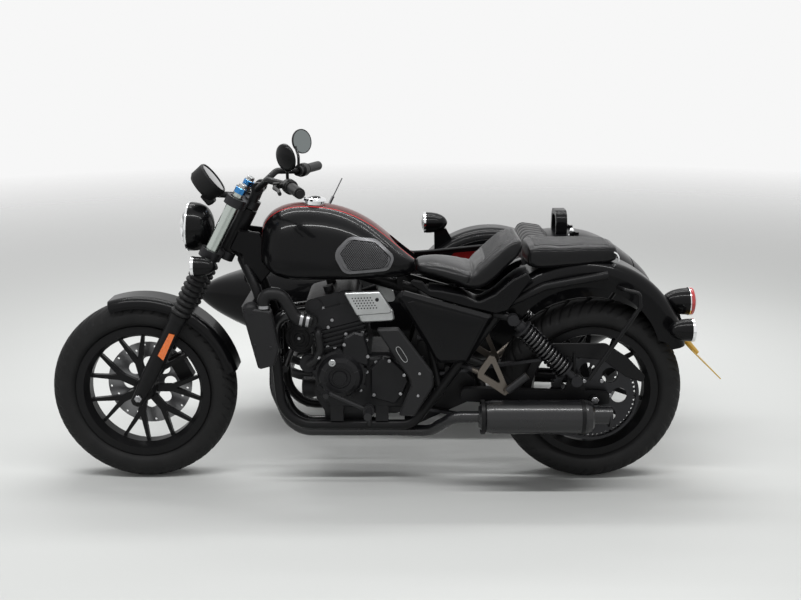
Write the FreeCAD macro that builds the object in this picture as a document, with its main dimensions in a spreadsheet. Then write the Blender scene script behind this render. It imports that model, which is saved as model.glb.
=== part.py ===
import FreeCAD, Part

import math
import os

import Sketcher
from FreeCAD import Placement, Rotation, Vector

# Sidecar motorcycle, standing on its three wheels. Lengths are in millimetres.
# Origin: on the ground under the rear axle, in the motorcycle's own centre plane.
# +X points to the rear, +Y to the rider's right, where the sidecar is, and +Z up.

# Driving dimensions: alias, value, what it is.
SIZES = (
    ("wheelbase", 1560, "rear axle to front axle"),
    ("side_track", 1150, "motorcycle centre plane to sidecar wheel plane"),
    ("side_lead", 260, "sidecar axle ahead of the rear axle"),
    ("rake", 27.5, "steering axis from the vertical, degrees"),
    ("yoke_offset", 45, "fork tubes ahead of the steering axis"),
    ("front_radius", 320, "front tyre radius"),
    ("front_width", 130, "front tyre width"),
    ("rear_radius", 322, "rear tyre radius"),
    ("rear_width", 150, "rear tyre width"),
    ("side_radius", 320, "sidecar tyre radius"),
    ("side_width", 120, "sidecar tyre width"),
    ("rim_flange", 234, "rim flange radius"),
    ("rim_seat", 218, "bead seat radius"),
    ("rim_well", 205, "rim well radius"),
    ("rim_inside", 194, "rim inner radius at the spokes"),
    ("rim_margin", 26, "tyre width less rim width"),
    ("rim_wall", 8, "rim flange thickness"),
    ("tyre_wall", 9, "tyre wall thickness"),
    ("fit_gap", 0.3, "gap between pieces that seat on each other"),
    ("hub_radius", 40, "wheel hub radius"),
    ("axle_radius", 10, "axle radius"),
    ("running_gap", 0.06, "gap round an axle that turns"),
    ("spoke_count", 7, "forked spokes in a wheel"),
    ("spoke_depth", 18, "spoke thickness along the axle"),
    ("spoke_arm", 26, "width of a spoke's root"),
    ("spoke_fork", 92, "radius where a spoke forks"),
    ("spoke_reach", 197, "where a spoke's two prongs meet the rim"),
    ("spoke_spread", 45, "prong end beside the spoke's middle line"),
    ("spoke_width", 11, "width of a prong"),
    ("disc_radius", 150, "front brake disc radius"),
    ("disc_inside", 114, "front brake ring inner radius"),
    ("disc_thickness", 5, "brake disc thickness"),
    ("disc_offset", 62, "front disc beside the wheel's middle plane"),
    ("rear_disc_radius", 120, "rear brake disc radius"),
    ("rear_disc_inside", 88, "rear brake ring inner radius"),
    ("rear_disc_offset", 76, "rear disc beside the wheel's middle plane"),
    ("disc_windows", 8, "windows in a brake disc's carrier"),
    ("sprocket_radius", 148, "rear sprocket outer radius"),
    ("sprocket_teeth", 58, "rear sprocket teeth"),
    ("sprocket_thickness", 7, "rear sprocket thickness"),
    ("chain_offset", 92, "chain line left of the centre plane"),
    ("chain_width", 17, "chain width over its link plates"),
    ("fork_spacing", 200, "between the fork legs"),
    ("tube_radius", 22, "fork tube radius"),
    ("slider_radius", 28, "fork slider radius"),
    ("gaiter_radius", 35, "fork gaiter outer radius"),
    ("gaiter_folds", 8, "folds in a fork gaiter"),
    ("slider_top", 610, "height of the slider's top"),
    ("gaiter_top", 752, "height of the gaiter's top"),
    ("upper_yoke", 975, "height of the upper yoke at the steering axis"),
    ("yoke_span", 175, "lower yoke below the upper yoke"),
    ("yoke_thickness", 30, "yoke plate thickness"),
    ("stem_radius", 15, "steering stem radius"),
    ("head_radius", 30, "head tube radius"),
    ("bar_radius", 11.1, "handlebar radius"),
    ("grip_radius", 17, "grip radius"),
    ("grip_length", 125, "grip length"),
    ("bar_height", 1060, "height of the grips"),
    ("bar_reach", 370, "grip end beside the centre plane"),
    ("bar_sweep", 170, "grip end behind the bar clamp"),
    ("lamp_radius", 83, "headlamp radius"),
    ("lamp_depth", 84, "headlamp shell depth"),
    ("lamp_dome", 30, "how far the headlamp's lens bulges"),
    ("lamp_height", 896, "headlamp centre height"),
    ("lamp_ahead", 173, "headlamp rim ahead of the steering axis"),
    ("dash_radius", 60, "dash pod radius"),
    ("dash_depth", 60, "dash pod depth"),
    ("dash_ahead", 163, "dash pod middle ahead of the steering axis"),
    ("mirror_radius", 44, "mirror glass radius"),
    ("signal_radius", 33, "front indicator radius"),
    ("rear_signal_radius", 38, "rear indicator radius"),
    ("tail_radius", 47, "tail lamp radius"),
    ("fender_gap", 17, "tyre to front fender"),
    ("fender_wall", 3, "fender wall thickness"),
    ("front_fender_width", 146, "front fender width"),
    ("fender_skirt", 38, "front fender side depth"),
    ("frame_tube", 17, "frame tube radius"),
    ("backbone", 21, "backbone tube radius"),
    ("rail_radius", 14, "seat rail tube radius"),
    ("cradle_half", 112, "cradle tube beside the centre plane"),
    ("cradle_height", 222, "height of the lower cradle tubes"),
    ("pivot_x", 430, "swingarm pivot ahead of the rear axle"),
    ("pivot_height", 335, "swingarm pivot height"),
    ("pivot_radius", 12, "swingarm pivot radius"),
    ("arm_half", 100, "swingarm blade beside the centre plane"),
    ("engine_back", 610, "rear of the crankcase ahead of the rear axle"),
    ("engine_length", 350, "crankcase length"),
    ("engine_bottom", 258, "crankcase underside height"),
    ("sump_bottom", 214, "oil pan underside height"),
    ("engine_top", 478, "crankcase top height"),
    ("engine_half", 128, "crankcase half width"),
    ("cover_depth", 52, "how far the round side covers stand out"),
    ("cover_radius", 86, "left round cover radius"),
    ("clutch_radius", 100, "right round cover radius"),
    ("cylinder_lean", 15, "cylinders lean forward, degrees"),
    ("cylinder_half", 125, "cylinder block half width"),
    ("cylinder_height", 190, "cylinder block and head height"),
    ("pipe_radius", 20, "exhaust pipe radius"),
    ("muffler_radius", 57, "muffler radius"),
    ("muffler_length", 385, "muffler length"),
    ("muffler_half", 205, "muffler beside the centre plane"),
    ("muffler_height", 282, "muffler axis height"),
    ("outlet_radius", 32, "muffler outlet pipe outer radius"),
    ("outlet_bore", 28, "muffler outlet pipe bore radius"),
    ("outlet_length", 62, "muffler outlet pipe length"),
    ("hose_radius", 21, "coolant hose radius"),
    ("tank_front", 1130, "tank front ahead of the rear axle"),
    ("tank_length", 515, "tank length"),
    ("tank_half", 158, "tank half width"),
    ("tank_top", 978, "tank top height"),
    ("tank_tunnel", 44, "half width of the tank's tunnel"),
    ("tank_bottom", 728, "tank underside height"),
    ("badge_rim", 9, "width of a tank badge's rim"),
    ("badge_rise", 7, "how far a tank badge's rim stands out"),
    ("seat_width", 290, "rider's seat width"),
    ("pillion_width", 226, "pillion pad width"),
    ("pillion_front", 236, "pillion pad front ahead of the rear axle"),
    ("pillion_length", 330, "pillion pad length"),
    ("pillion_top", 846, "pillion pad top height"),
    ("pillion_depth", 76, "pillion pad thickness"),
    ("rear_fender_width", 212, "rear fender width"),
    ("rear_fender_radius", 360, "rear fender crest radius"),
    ("rear_fender_x", 40, "rear fender arc centre ahead of the rear axle"),
    ("rear_fender_z", 438, "rear fender arc centre height"),
    ("rear_fender_skirt", 92, "rear fender side depth"),
    ("shock_half", 150, "shock absorber beside the centre plane"),
    ("coil_radius", 30, "shock spring radius"),
    ("coil_wire", 4.5, "shock spring wire radius"),
    ("coil_turns", 13, "shock spring turns"),
    ("tub_near", 404, "sidecar body's near side beside the centre plane"),
    ("tub_clear", 190, "sidecar body's far side to the sidecar wheel's plane"),
    ("tub_wall", 9, "sidecar body wall thickness"),
    ("tub_front", 1485, "sidecar nose ahead of the rear axle"),
    ("tub_length", 1830, "sidecar body length"),
    ("side_fender_width", 176, "sidecar fender width"),
    ("side_fender_radius", 382, "sidecar fender crest radius"),
    ("side_fender_skirt", 78, "sidecar fender side depth"),
    ("marker_radius", 46, "sidecar marker lamp radius"),
    ("chassis_tube", 19, "sidecar chassis tube radius"),
    ("post_radius", 15, "sidecar body post radius"),
    ("strut_radius", 14, "sidecar strut radius"),
    ("chassis_height", 205, "sidecar chassis tube height"),
    ("lid_pin", 2.5, "boot lid hinge pin radius"),
    ("lid_gap", 5, "gap round the boot lid"),
)


class Measure:
    """A size with both its number and the sheet expression that gives it."""

    def __init__(self, value, text):
        self.value = float(value)
        self.text = text

    def join(self, other, sign, swap=False):
        if not isinstance(other, Measure):
            other = Measure(other, repr(float(other)))
        left, right = (other, self) if swap else (self, other)
        result = {
            "+": left.value + right.value,
            "-": left.value - right.value,
            "*": left.value * right.value,
            "/": left.value / right.value if right.value else 0.0,
        }[sign]
        return Measure(result, f"({left.text} {sign} {right.text})")

    def __add__(self, other):
        return self.join(other, "+")

    def __sub__(self, other):
        return self.join(other, "-")

    def __mul__(self, other):
        return self.join(other, "*")

    def __truediv__(self, other):
        return self.join(other, "/")

    def __radd__(self, other):
        return self.join(other, "+", True)

    def __rsub__(self, other):
        return self.join(other, "-", True)

    def __rmul__(self, other):
        return self.join(other, "*", True)

    def __neg__(self):
        return 0 - self


class Namespace:
    """Names read as attributes."""


doc = FreeCAD.newDocument("SidecarMotorcycle")
sheet = doc.addObject("Spreadsheet::Sheet", "Sizes")
mm = Namespace()
cell = Namespace()
for row, (alias, value, note) in enumerate(SIZES, 1):
    sheet.set(f"A{row}", note)
    sheet.set(f"B{row}", str(value))
    sheet.setAlias(f"B{row}", alias)
doc.recompute()
for alias, value, note in SIZES:
    setattr(mm, alias, float(sheet.get(alias)))
    setattr(cell, alias, Measure(sheet.get(alias), f"Sizes.{alias}"))

SUB_PARTS = []

# General helpers for shapes


def node(label):
    """The shape of a sub-part that is already made."""
    return next(obj for obj in SUB_PARTS if obj.Label == label).Shape


def part(label, shape):
    """Adds a sub-part whose shape is worked out with Part's own functions."""
    feature = doc.addObject("Part::Feature", label)
    feature.Label = label
    feature.Shape = shape
    SUB_PARTS.append(feature)
    return feature


def bind(obj, **measures):
    """Ties properties of an object to cells of the sheet."""
    for name, measure in measures.items():
        obj.setExpression(name, measure.text)


def rod(start, end, radius):
    """A round bar between two points."""
    return Part.makeCylinder(radius, (end - start).Length, start, end - start)


def block(x0, x1, y0, y1, z0, z1):
    """A box between low and high coordinates."""
    return Part.makeBox(x1 - x0, y1 - y0, z1 - z0, Vector(x0, y0, z0))


def mirrored(shape):
    """The shape's twin across the motorcycle's centre plane."""
    return shape.mirror(Vector(0, 0, 0), Vector(0, 1, 0))


def pair(shape):
    """Left and right twins as one compound."""
    return Part.makeCompound([shape, mirrored(shape)])


def fused(shapes):
    """One clean solid from shapes that meet."""
    shapes = list(shapes)
    return shapes[0].multiFuse(shapes[1:]).removeSplitter()


def rounded_path(points, bend):
    """A wire of straight runs joined by tangent arcs. bend is one radius, or one for each inner point."""
    count = len(points)
    bends = [bend] * count if isinstance(bend, (int, float)) else [0, *bend, 0]
    edges = []
    here = points[0]
    for i in range(1, count - 1):
        before = (points[i - 1] - points[i]).normalize()
        after = (points[i + 1] - points[i]).normalize()
        half = before.getAngle(after) / 2
        cut = bends[i] / math.tan(half)
        start = points[i] + before * cut
        end = points[i] + after * cut
        middle_line = (before + after).normalize()
        middle = points[i] + middle_line * (bends[i] / math.sin(half) - bends[i])
        edges.append(Part.makeLine(here, start))
        edges.append(Part.Arc(start, middle, end).toShape())
        here = end
    edges.append(Part.makeLine(here, points[-1]))
    return Part.Wire(edges)


def bent_tube(points, radius, bend):
    """A round tube along straight runs and bends."""
    path = rounded_path(points, bend)
    ring = Part.Wire(Part.makeCircle(radius, points[0], points[1] - points[0]))
    return path.makePipeShell([ring], True, False)


def rounded_outline(points, radius):
    """A closed flat wire with its corners rounded. A point may carry its own radius as a third number."""
    corners = [Vector(p[0], 0, p[1]) for p in points]
    radii = [p[2] if len(p) > 2 else radius for p in points]
    count = len(corners)
    edges = []
    ends = []
    for i in range(count):
        here = corners[i]
        before = (corners[i - 1] - here).normalize()
        after = (corners[(i + 1) % count] - here).normalize()
        half = before.getAngle(after) / 2
        cut = radii[i] / math.tan(half)
        middle_line = (before + after).normalize()
        middle = here + middle_line * (radii[i] / math.sin(half) - radii[i])
        ends.append((here + before * cut, middle, here + after * cut))
    for i in range(count):
        start, middle, end = ends[i]
        edges.append(Part.Arc(start, middle, end).toShape())
        edges.append(Part.makeLine(end, ends[(i + 1) % count][0]))
    return Part.Wire(edges)


def side_plate(points, radius, y0, y1):
    """A flat plate seen from the side, between two planes of constant Y."""
    face = Part.Face(rounded_outline(points, radius))
    face.translate(Vector(0, y0, 0))
    return face.extrude(Vector(0, y1 - y0, 0))


def inset_points(points, distance):
    """The corners of an outline drawn in by a distance, with their radii following."""
    count = len(points)
    area = sum(points[i - 1][0] * points[i][1] - points[i][0] * points[i - 1][1] for i in range(count))
    turn = 1 if area > 0 else -1
    moved = []
    for i, (x, z, radius) in enumerate(points):
        before = Vector(x - points[i - 1][0], z - points[i - 1][1], 0).normalize()
        after = Vector(points[(i + 1) % count][0] - x, points[(i + 1) % count][1] - z, 0).normalize()
        first = Vector(-before.y, before.x, 0) * turn
        second = Vector(-after.y, after.x, 0) * turn
        shift = (first + second) * (distance / (1 + first.dot(second)))
        inward = (before.x * after.y - before.y * after.x) * turn > 0
        moved.append((x + shift.x, z + shift.y, max(radius - distance, 1) if inward else radius + distance))
    return moved


def bevelled_plate(points, y0, y1, bevel):
    """A plate from the plane y0 to its outer face at y1, whose rim slopes over a bevel."""
    side = 1 if y1 > y0 else -1
    edge = y1 - side * bevel
    base = side_plate(points, 0, y0, edge)
    low = rounded_outline(points, 0)
    low.translate(Vector(0, edge, 0))
    high = rounded_outline(inset_points(points, bevel), 0)
    high.translate(Vector(0, y1, 0))
    return fused([base, Part.makeLoft([low, high], True, True)])


def turned(start, direction, outline):
    """A solid of revolution. outline lists distance along the axis and radius, joined by a smooth curve."""
    axis = Vector(direction).normalize()
    side = axis.cross(Vector(0, 1, 0))
    if side.Length < 0.1:
        side = axis.cross(Vector(0, 0, 1))
    side.normalize()
    points = [start + axis * a + side * r for a, r in outline]
    curve = Part.BSplineCurve()
    curve.interpolate(points)
    edges = [curve.toShape()]
    first = start + axis * outline[0][0]
    last = start + axis * outline[-1][0]
    if outline[-1][1] > 0:
        edges.append(Part.makeLine(points[-1], last))
    edges.append(Part.makeLine(last, first))
    if outline[0][1] > 0:
        edges.append(Part.makeLine(first, points[0]))
    return Part.Face(Part.Wire(edges)).revolve(start, axis, 360)


def dome(start, direction, radius, rise):
    """A shallow round cap: the part of a ball above a flat face."""
    ball_radius = (radius * radius + rise * rise) / (2 * rise)
    ball = Part.makeSphere(ball_radius, start - Vector(direction) * (ball_radius - rise))
    return ball.common(Part.makeCylinder(radius + 1, rise + 1, start, direction))


def stepped(start, direction, outline):
    """A solid of revolution with straight steps. outline lists distance along the axis and radius."""
    axis = Vector(direction).normalize()
    side = axis.cross(Vector(0, 1, 0))
    if side.Length < 0.1:
        side = axis.cross(Vector(0, 0, 1))
    side.normalize()
    points = [start + axis * a + side * r for a, r in outline]
    points = [start + axis * outline[0][0], *points, start + axis * outline[-1][0]]
    points.append(points[0])
    kept = [points[0]]
    for p in points[1:]:
        if (p - kept[-1]).Length > 1e-6:
            kept.append(p)
    return Part.Face(Part.makePolygon(kept)).revolve(start, axis, 360)


OVAL_POINTS = 16


def oval(x, middle_y, middle_z, half, up, down, crown=2.0, waist=2.0):
    """A closed smooth section across X: half wide, up and down from its middle. Powers over 2 square it."""
    points = []
    for i in range(OVAL_POINTS):
        t = 2 * math.pi * i / OVAL_POINTS
        c = math.cos(t)
        s = math.sin(t)
        power = crown if s > 0 else waist
        reach = up if s > 0 else down
        y = middle_y + half * math.copysign(abs(c) ** (2 / power), c)
        z = middle_z + reach * math.copysign(abs(s) ** (2 / power), s)
        points.append(Vector(x, y, z))
    curve = Part.BSplineCurve()
    curve.interpolate(points, PeriodicFlag=True)
    return Part.Wire(curve.toShape())


def arched(centre, section, first, last):
    """Revolves a face in the XZ half plane about a cross axis. Angles run from +X up through +Z, in degrees."""
    face = section.copy()
    face.rotate(centre, Vector(0, 1, 0), -first)
    return face.revolve(centre, Vector(0, 1, 0), -(last - first))


def arch_section(centre, crest, half, skirt, wall, shoulder):
    """A fender's cross-section, standing at angle 0: a crown with rounded shoulders and two skirts."""
    x = centre.x
    z = centre.z

    def at(radius, y):
        return Vector(x + radius, centre.y + y, z)

    def edge(offset):
        top = crest - offset
        side = half - offset
        bend = shoulder - offset
        slant = bend * math.sqrt(0.5)
        low = crest - skirt
        return [
            Part.makeLine(at(low, -side), at(top - bend, -side)),
            Part.Arc(
                at(top - bend, -side),
                at(top - bend + slant, -side + bend - slant),
                at(top, -side + bend),
            ).toShape(),
            Part.makeLine(at(top, -side + bend), at(top, side - bend)),
            Part.Arc(
                at(top, side - bend),
                at(top - bend + slant, side - bend + slant),
                at(top - bend, side),
            ).toShape(),
            Part.makeLine(at(top - bend, side), at(low, side)),
        ]

    low = crest - skirt
    ends = [
        Part.makeLine(at(low, half), at(low, half - wall)),
        Part.makeLine(at(low, -half), at(low, -half + wall)),
    ]
    edges = Part.sortEdges(edge(0) + edge(wall) + ends)[0]
    return Part.Face(Part.Wire(edges))


# PartDesign helpers


def origin_plane(body, role):
    return next(f for f in body.Origin.OriginFeatures if f.Role == role)


def new_body(label):
    body = doc.addObject("PartDesign::Body", label)
    body.Label = label
    SUB_PARTS.append(body)
    return body


def new_sketch(body, role, name):
    sketch = body.newObject("Sketcher::SketchObject", name)
    sketch.AttachmentSupport = [(origin_plane(body, role), "")]
    sketch.MapMode = "FlatFace"
    return sketch


def draw_outline(sketch, points):
    """Draws a closed outline whose corners are tied to cells of the sheet."""
    numbers = [(float(getattr(x, "value", x)), float(getattr(y, "value", y))) for x, y in points]
    count = len(points)
    first = sketch.GeometryCount
    for i in range(count):
        x0, y0 = numbers[i]
        x1, y1 = numbers[(i + 1) % count]
        sketch.addGeometry(Part.LineSegment(Vector(x0, y0, 0), Vector(x1, y1, 0)), False)
    for i in range(count):
        after = first + (i + 1) % count
        sketch.addConstraint(Sketcher.Constraint("Coincident", first + i, 2, after, 1))
    for i, (x, y) in enumerate(points):
        for kind, measure, number in (("DistanceX", x, numbers[i][0]), ("DistanceY", y, numbers[i][1])):
            index = sketch.addConstraint(Sketcher.Constraint(kind, -1, 1, first + i, 1, number))
            if isinstance(measure, Measure):
                sketch.setExpression(f"Constraints[{index}]", measure.text)


def revolve_feature(body, sketch, name):
    """Revolves a sketch about its own vertical axis."""
    feature = body.newObject("PartDesign::Revolution", name)
    feature.Profile = sketch
    feature.ReferenceAxis = (sketch, ["V_Axis"])
    feature.Angle = 360
    return feature


def pad_feature(body, sketch, name, length):
    """Pads a sketch by a length, half to each side."""
    feature = body.newObject("PartDesign::Pad", name)
    feature.Profile = sketch
    feature.Midplane = True
    bind(feature, Length=length)
    return feature


def polar_feature(body, original, name, axis_sketch, count):
    """Repeats a feature round the sketch's normal axis."""
    feature = body.newObject("PartDesign::PolarPattern", name)
    feature.Originals = [original]
    feature.Axis = (axis_sketch, ["N_Axis"])
    feature.Angle = 360
    feature.Occurrences = int(count.value)
    bind(feature, Occurrences=count)
    body.Tip = feature
    return feature


# Layout: the points that several sub-parts share

RAKE = math.radians(mm.rake)
STEER_UP = Vector(math.sin(RAKE), 0, math.cos(RAKE))
STEER_BACK = Vector(math.cos(RAKE), 0, -math.sin(RAKE))
FRONT_AXLE = Vector(-mm.wheelbase, 0, mm.front_radius)
REAR_AXLE = Vector(0, 0, mm.rear_radius)
SIDE_AXLE = Vector(-mm.side_lead, mm.side_track, mm.side_radius)
PIVOT = Vector(-mm.pivot_x, 0, mm.pivot_height)
FORK_HALF = mm.fork_spacing / 2
LOWER_YOKE = mm.upper_yoke - mm.yoke_span
TANK_BACK = mm.tank_length - mm.tank_front
SEAT_FRONT = TANK_BACK + 3
SEAT_BACK = -mm.pillion_front - 22
TUB_FAR = mm.side_track - mm.tub_clear
TUB_CENTRE = (TUB_FAR + mm.tub_near) / 2
TUB_HALF = (TUB_FAR - mm.tub_near) / 2


def on_fork(height, y=0):
    """The point of a fork leg's axis at a height."""
    along = (height - FRONT_AXLE.z) / STEER_UP.z
    return FRONT_AXLE + STEER_UP * along + Vector(0, y, 0)


def on_steering(height):
    """The point of the steering axis at a height."""
    base = FRONT_AXLE + STEER_BACK * mm.yoke_offset
    return base + STEER_UP * ((height - base.z) / STEER_UP.z)


# Wheels


def tyre(label, centre, radius, width):
    """A hollow tyre: bead, bulging sidewall and rounded tread, revolved about the axle."""
    half = width / 2
    rim_half = (width - mm.rim_margin) / 2 - mm.rim_wall - mm.fit_gap
    seat = mm.rim_seat + mm.fit_gap

    def ring(offset):
        shoulder = radius - half * 0.62
        side = half - offset
        return [
            (mm.rim_flange + 1, rim_half - offset * 0.5),
            (mm.rim_flange + (shoulder - mm.rim_flange) * 0.35, side * 0.95),
            (shoulder, side * 0.99),
            (radius - half * 0.2 - offset, side * 0.72),
            (radius - offset, 0),
        ]

    def smooth(rows):
        points = [Vector(centre.x + r, centre.y + y, centre.z) for r, y in rows]
        points += [Vector(centre.x + r, centre.y - y, centre.z) for r, y in reversed(rows[:-1])]
        curve = Part.BSplineCurve()
        curve.interpolate(points)
        return curve.toShape(), points[0], points[-1]

    outer, a, b = smooth(ring(0))
    inner, c, d = smooth(ring(mm.tyre_wall))
    edges = [outer, inner]
    for top, back in ((a, c), (b, d)):
        toe = Vector(centre.x + seat, top.y, top.z)
        heel = Vector(centre.x + seat, back.y, back.z)
        edges += [Part.makeLine(top, toe), Part.makeLine(toe, heel), Part.makeLine(heel, back)]
    wire = Part.Wire(Part.sortEdges(edges)[0])
    return part(label, Part.Face(wire).revolve(centre, Vector(0, 1, 0), 360))


def wheel(label, centre, width):
    """A cast wheel: hub, forked spokes repeated round the axle, and rim."""
    body = new_body(label)
    half = (width - cell.rim_margin) / 2
    hub = new_sketch(body, "XY_Plane", label + "_hub_outline")
    bore = cell.axle_radius + cell.running_gap
    hub_half = half - 14
    draw_outline(
        hub,
        [
            (bore, -hub_half),
            (cell.hub_radius - 8, -hub_half),
            (cell.hub_radius, -hub_half + 10),
            (cell.hub_radius, hub_half - 10),
            (cell.hub_radius - 8, hub_half),
            (bore, hub_half),
        ],
    )
    revolve_feature(body, hub, label + "_hub")
    spoke = new_sketch(body, "XZ_Plane", label + "_spoke_outline")
    arm = cell.spoke_arm / 2
    prong = cell.spoke_width / 2
    root = cell.hub_radius - 4
    draw_outline(
        spoke,
        [
            (root, -arm),
            (cell.spoke_fork, -arm),
            (cell.spoke_reach, -cell.spoke_spread - prong),
            (cell.spoke_reach, -cell.spoke_spread + prong),
            (cell.spoke_fork + 16, Measure(0, "0")),
            (cell.spoke_reach, cell.spoke_spread - prong),
            (cell.spoke_reach, cell.spoke_spread + prong),
            (cell.spoke_fork, arm),
            (root, arm),
        ],
    )
    pad = pad_feature(body, spoke, label + "_spoke", cell.spoke_depth)
    polar_feature(body, pad, label + "_spokes", spoke, cell.spoke_count)
    rim = new_sketch(body, "XY_Plane", label + "_rim_outline")
    lip = cell.rim_wall
    draw_outline(
        rim,
        [
            (cell.rim_inside, Measure(0, "0") - 22),
            (cell.rim_flange - 26, -half),
            (cell.rim_flange, -half),
            (cell.rim_flange, -half + lip * 0.7),
            (cell.rim_seat, -half + lip),
            (cell.rim_seat, -half + lip * 3),
            (cell.rim_well, -half + lip * 4),
            (cell.rim_well, half - lip * 4),
            (cell.rim_seat, half - lip * 3),
            (cell.rim_seat, half - lip),
            (cell.rim_flange, half - lip * 0.7),
            (cell.rim_flange, half),
            (cell.rim_flange - 26, half),
            (cell.rim_inside, Measure(0, "0") + 22),
        ],
    )
    body.Tip = revolve_feature(body, rim, label + "_rim")
    body.Placement = Placement(centre, Rotation())
    return body


def brake_disc(label, centre, radius, inside, offset, hub_face):
    """A drilled brake ring on a carrier with round windows, bossed out to the wheel's hub."""
    side = Vector(0, 1, 0)
    base = centre + side * (offset - mm.disc_thickness / 2)
    disc = Part.makeCylinder(radius, mm.disc_thickness, base, side)
    count = int(mm.disc_windows)
    boss_radius = mm.hub_radius - 8
    window_ring = (inside + boss_radius) / 2
    window = window_ring * math.sin(math.pi / count) * 0.8
    hole_ring = (radius + inside) / 2
    cuts = []
    for i in range(count):
        t = 2 * math.pi * i / count
        out = Vector(math.cos(t), 0, math.sin(t))
        cuts.append(Part.makeCylinder(window, mm.disc_thickness, base + out * window_ring, side))
        for turn, shift in ((0.10, 8), (0.36, -8), (0.62, 2)):
            s = t + turn
            place = base + Vector(math.cos(s), 0, math.sin(s)) * (hole_ring + shift)
            cuts.append(Part.makeCylinder(4, mm.disc_thickness, place, side))
    boss = Part.makeCylinder(boss_radius, offset - hub_face, centre + side * hub_face, side)
    bore = rod(
        centre + side * (hub_face - 1),
        centre + side * (offset + mm.disc_thickness),
        mm.axle_radius + mm.running_gap,
    )
    return part(label, disc.cut(Part.makeCompound(cuts)).fuse(boss).removeSplitter().cut(bore))


def brake_discs():
    """One disc on the right of the front wheel and one on the right of the rear wheel."""
    for label, centre, radius, inside, offset, width in (
        ("front_disc", FRONT_AXLE, mm.disc_radius, mm.disc_inside, mm.disc_offset, mm.front_width),
        (
            "rear_disc",
            REAR_AXLE,
            mm.rear_disc_radius,
            mm.rear_disc_inside,
            mm.rear_disc_offset,
            mm.rear_width,
        ),
    ):
        brake_disc(label, centre, radius, inside, offset, (width - mm.rim_margin) / 2 - 14)


def toothed_disc(radius, teeth, depth, base, thickness):
    """A flat disc with pointed teeth round it, standing across Y."""
    points = []
    for i in range(teeth):
        for share, r in ((0.0, radius - depth), (0.3, radius), (0.55, radius), (0.85, radius - depth)):
            t = 2 * math.pi * (i + share) / teeth
            points.append(base + Vector(r * math.cos(t), 0, r * math.sin(t)))
    points.append(points[0])
    return Part.Face(Part.makePolygon(points)).extrude(Vector(0, thickness, 0))


def rear_sprocket():
    """The rear sprocket on the left of the rear wheel, with round windows between its arms."""
    side = Vector(0, 1, 0)
    base = REAR_AXLE - side * (mm.chain_offset + mm.sprocket_thickness / 2)
    disc = toothed_disc(mm.sprocket_radius, int(mm.sprocket_teeth), 7, base, mm.sprocket_thickness)
    windows = []
    ring = mm.sprocket_radius * 0.62
    for i in range(int(mm.spoke_count)):
        t = 2 * math.pi * i / mm.spoke_count
        place = base + Vector(math.cos(t), 0, math.sin(t)) * ring
        windows.append(Part.makeCylinder(ring * 0.3, mm.sprocket_thickness, place, side))
    hub_face = -(mm.rear_width - mm.rim_margin) / 2 + 14
    back = base.y + mm.sprocket_thickness
    boss = Part.makeCylinder(mm.hub_radius - 8, hub_face - back, Vector(0, back, REAR_AXLE.z), side)
    bore = rod(base - side, Vector(0, hub_face + 1, REAR_AXLE.z), mm.axle_radius + mm.running_gap)
    return part("rear_sprocket", disc.cut(Part.makeCompound(windows)).fuse(boss).removeSplitter().cut(bore))


# Fork and steering


def yokes():
    """Upper and lower fork yokes with the steering stem between them."""
    plates = []
    clamp = mm.tube_radius + 12
    for height in (LOWER_YOKE, mm.upper_yoke):
        base = on_steering(height)
        bottom = base - STEER_UP * (mm.yoke_thickness / 2)
        ahead = -mm.yoke_offset
        legs = []
        for side in (-1, 1):
            place = bottom + STEER_BACK * ahead + Vector(0, side * FORK_HALF, 0)
            legs.append(Part.makeCylinder(clamp, mm.yoke_thickness, place, STEER_UP))
        web = block(-26, 26, -FORK_HALF, FORK_HALF, 0, mm.yoke_thickness - 6)
        web.Placement = Placement(
            bottom + STEER_BACK * (ahead + 12), Rotation(Vector(0, 1, 0), mm.rake)
        )
        hub = Part.makeCylinder(mm.stem_radius + 14, mm.yoke_thickness, bottom, STEER_UP)
        plates.append(fused([web, hub, *legs]))
    stem = rod(on_steering(LOWER_YOKE), on_steering(mm.upper_yoke + 18), mm.stem_radius)
    yoke = fused([*plates, stem])
    holes = []
    for side in (-1, 1):
        low = on_fork(mm.slider_top, side * FORK_HALF)
        holes.append(rod(low, low + STEER_UP * 600, mm.tube_radius))
    return part("yokes", yoke.cut(Part.makeCompound(holes)))


def fork_tubes():
    """The two fork tubes, from inside the sliders to their caps above the upper yoke."""
    tubes = []
    for side in (-1, 1):
        foot = on_fork(mm.slider_top, side * FORK_HALF)
        top = on_fork(mm.upper_yoke + 30, side * FORK_HALF)
        tube = rod(foot, top, mm.tube_radius)
        cap = stepped(
            top,
            STEER_UP,
            [(0, 17), (18, 17), (18, 14), (23, 14), (23, 18), (38, 18), (41, 13), (43, 13)],
        )
        tubes.append(fused([tube, cap]))
    return part("fork_tubes", Part.makeCompound(tubes))


def fork_gaiters():
    """Ribbed rubber gaiters over the fork tubes, above the sliders."""
    low = on_fork(mm.slider_top)
    top = on_fork(mm.gaiter_top)
    length = (top - low).Length
    folds = int(mm.gaiter_folds)
    rows = []
    inner = mm.gaiter_radius - 7
    for i in range(folds):
        a = length * i / folds
        rows.append((a, inner))
        rows.append((a + length / folds * 0.3, mm.gaiter_radius))
        rows.append((a + length / folds * 0.6, mm.gaiter_radius))
    rows.append((length, inner))
    gaiters = []
    for side in (-1, 1):
        start = low + Vector(0, side * FORK_HALF, 0)
        bellows = stepped(start, STEER_UP, rows)
        gaiters.append(bellows.cut(rod(start - STEER_UP, start + STEER_UP * (length + 1), mm.tube_radius)))
    return part("fork_gaiters", Part.makeCompound(gaiters))


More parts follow.
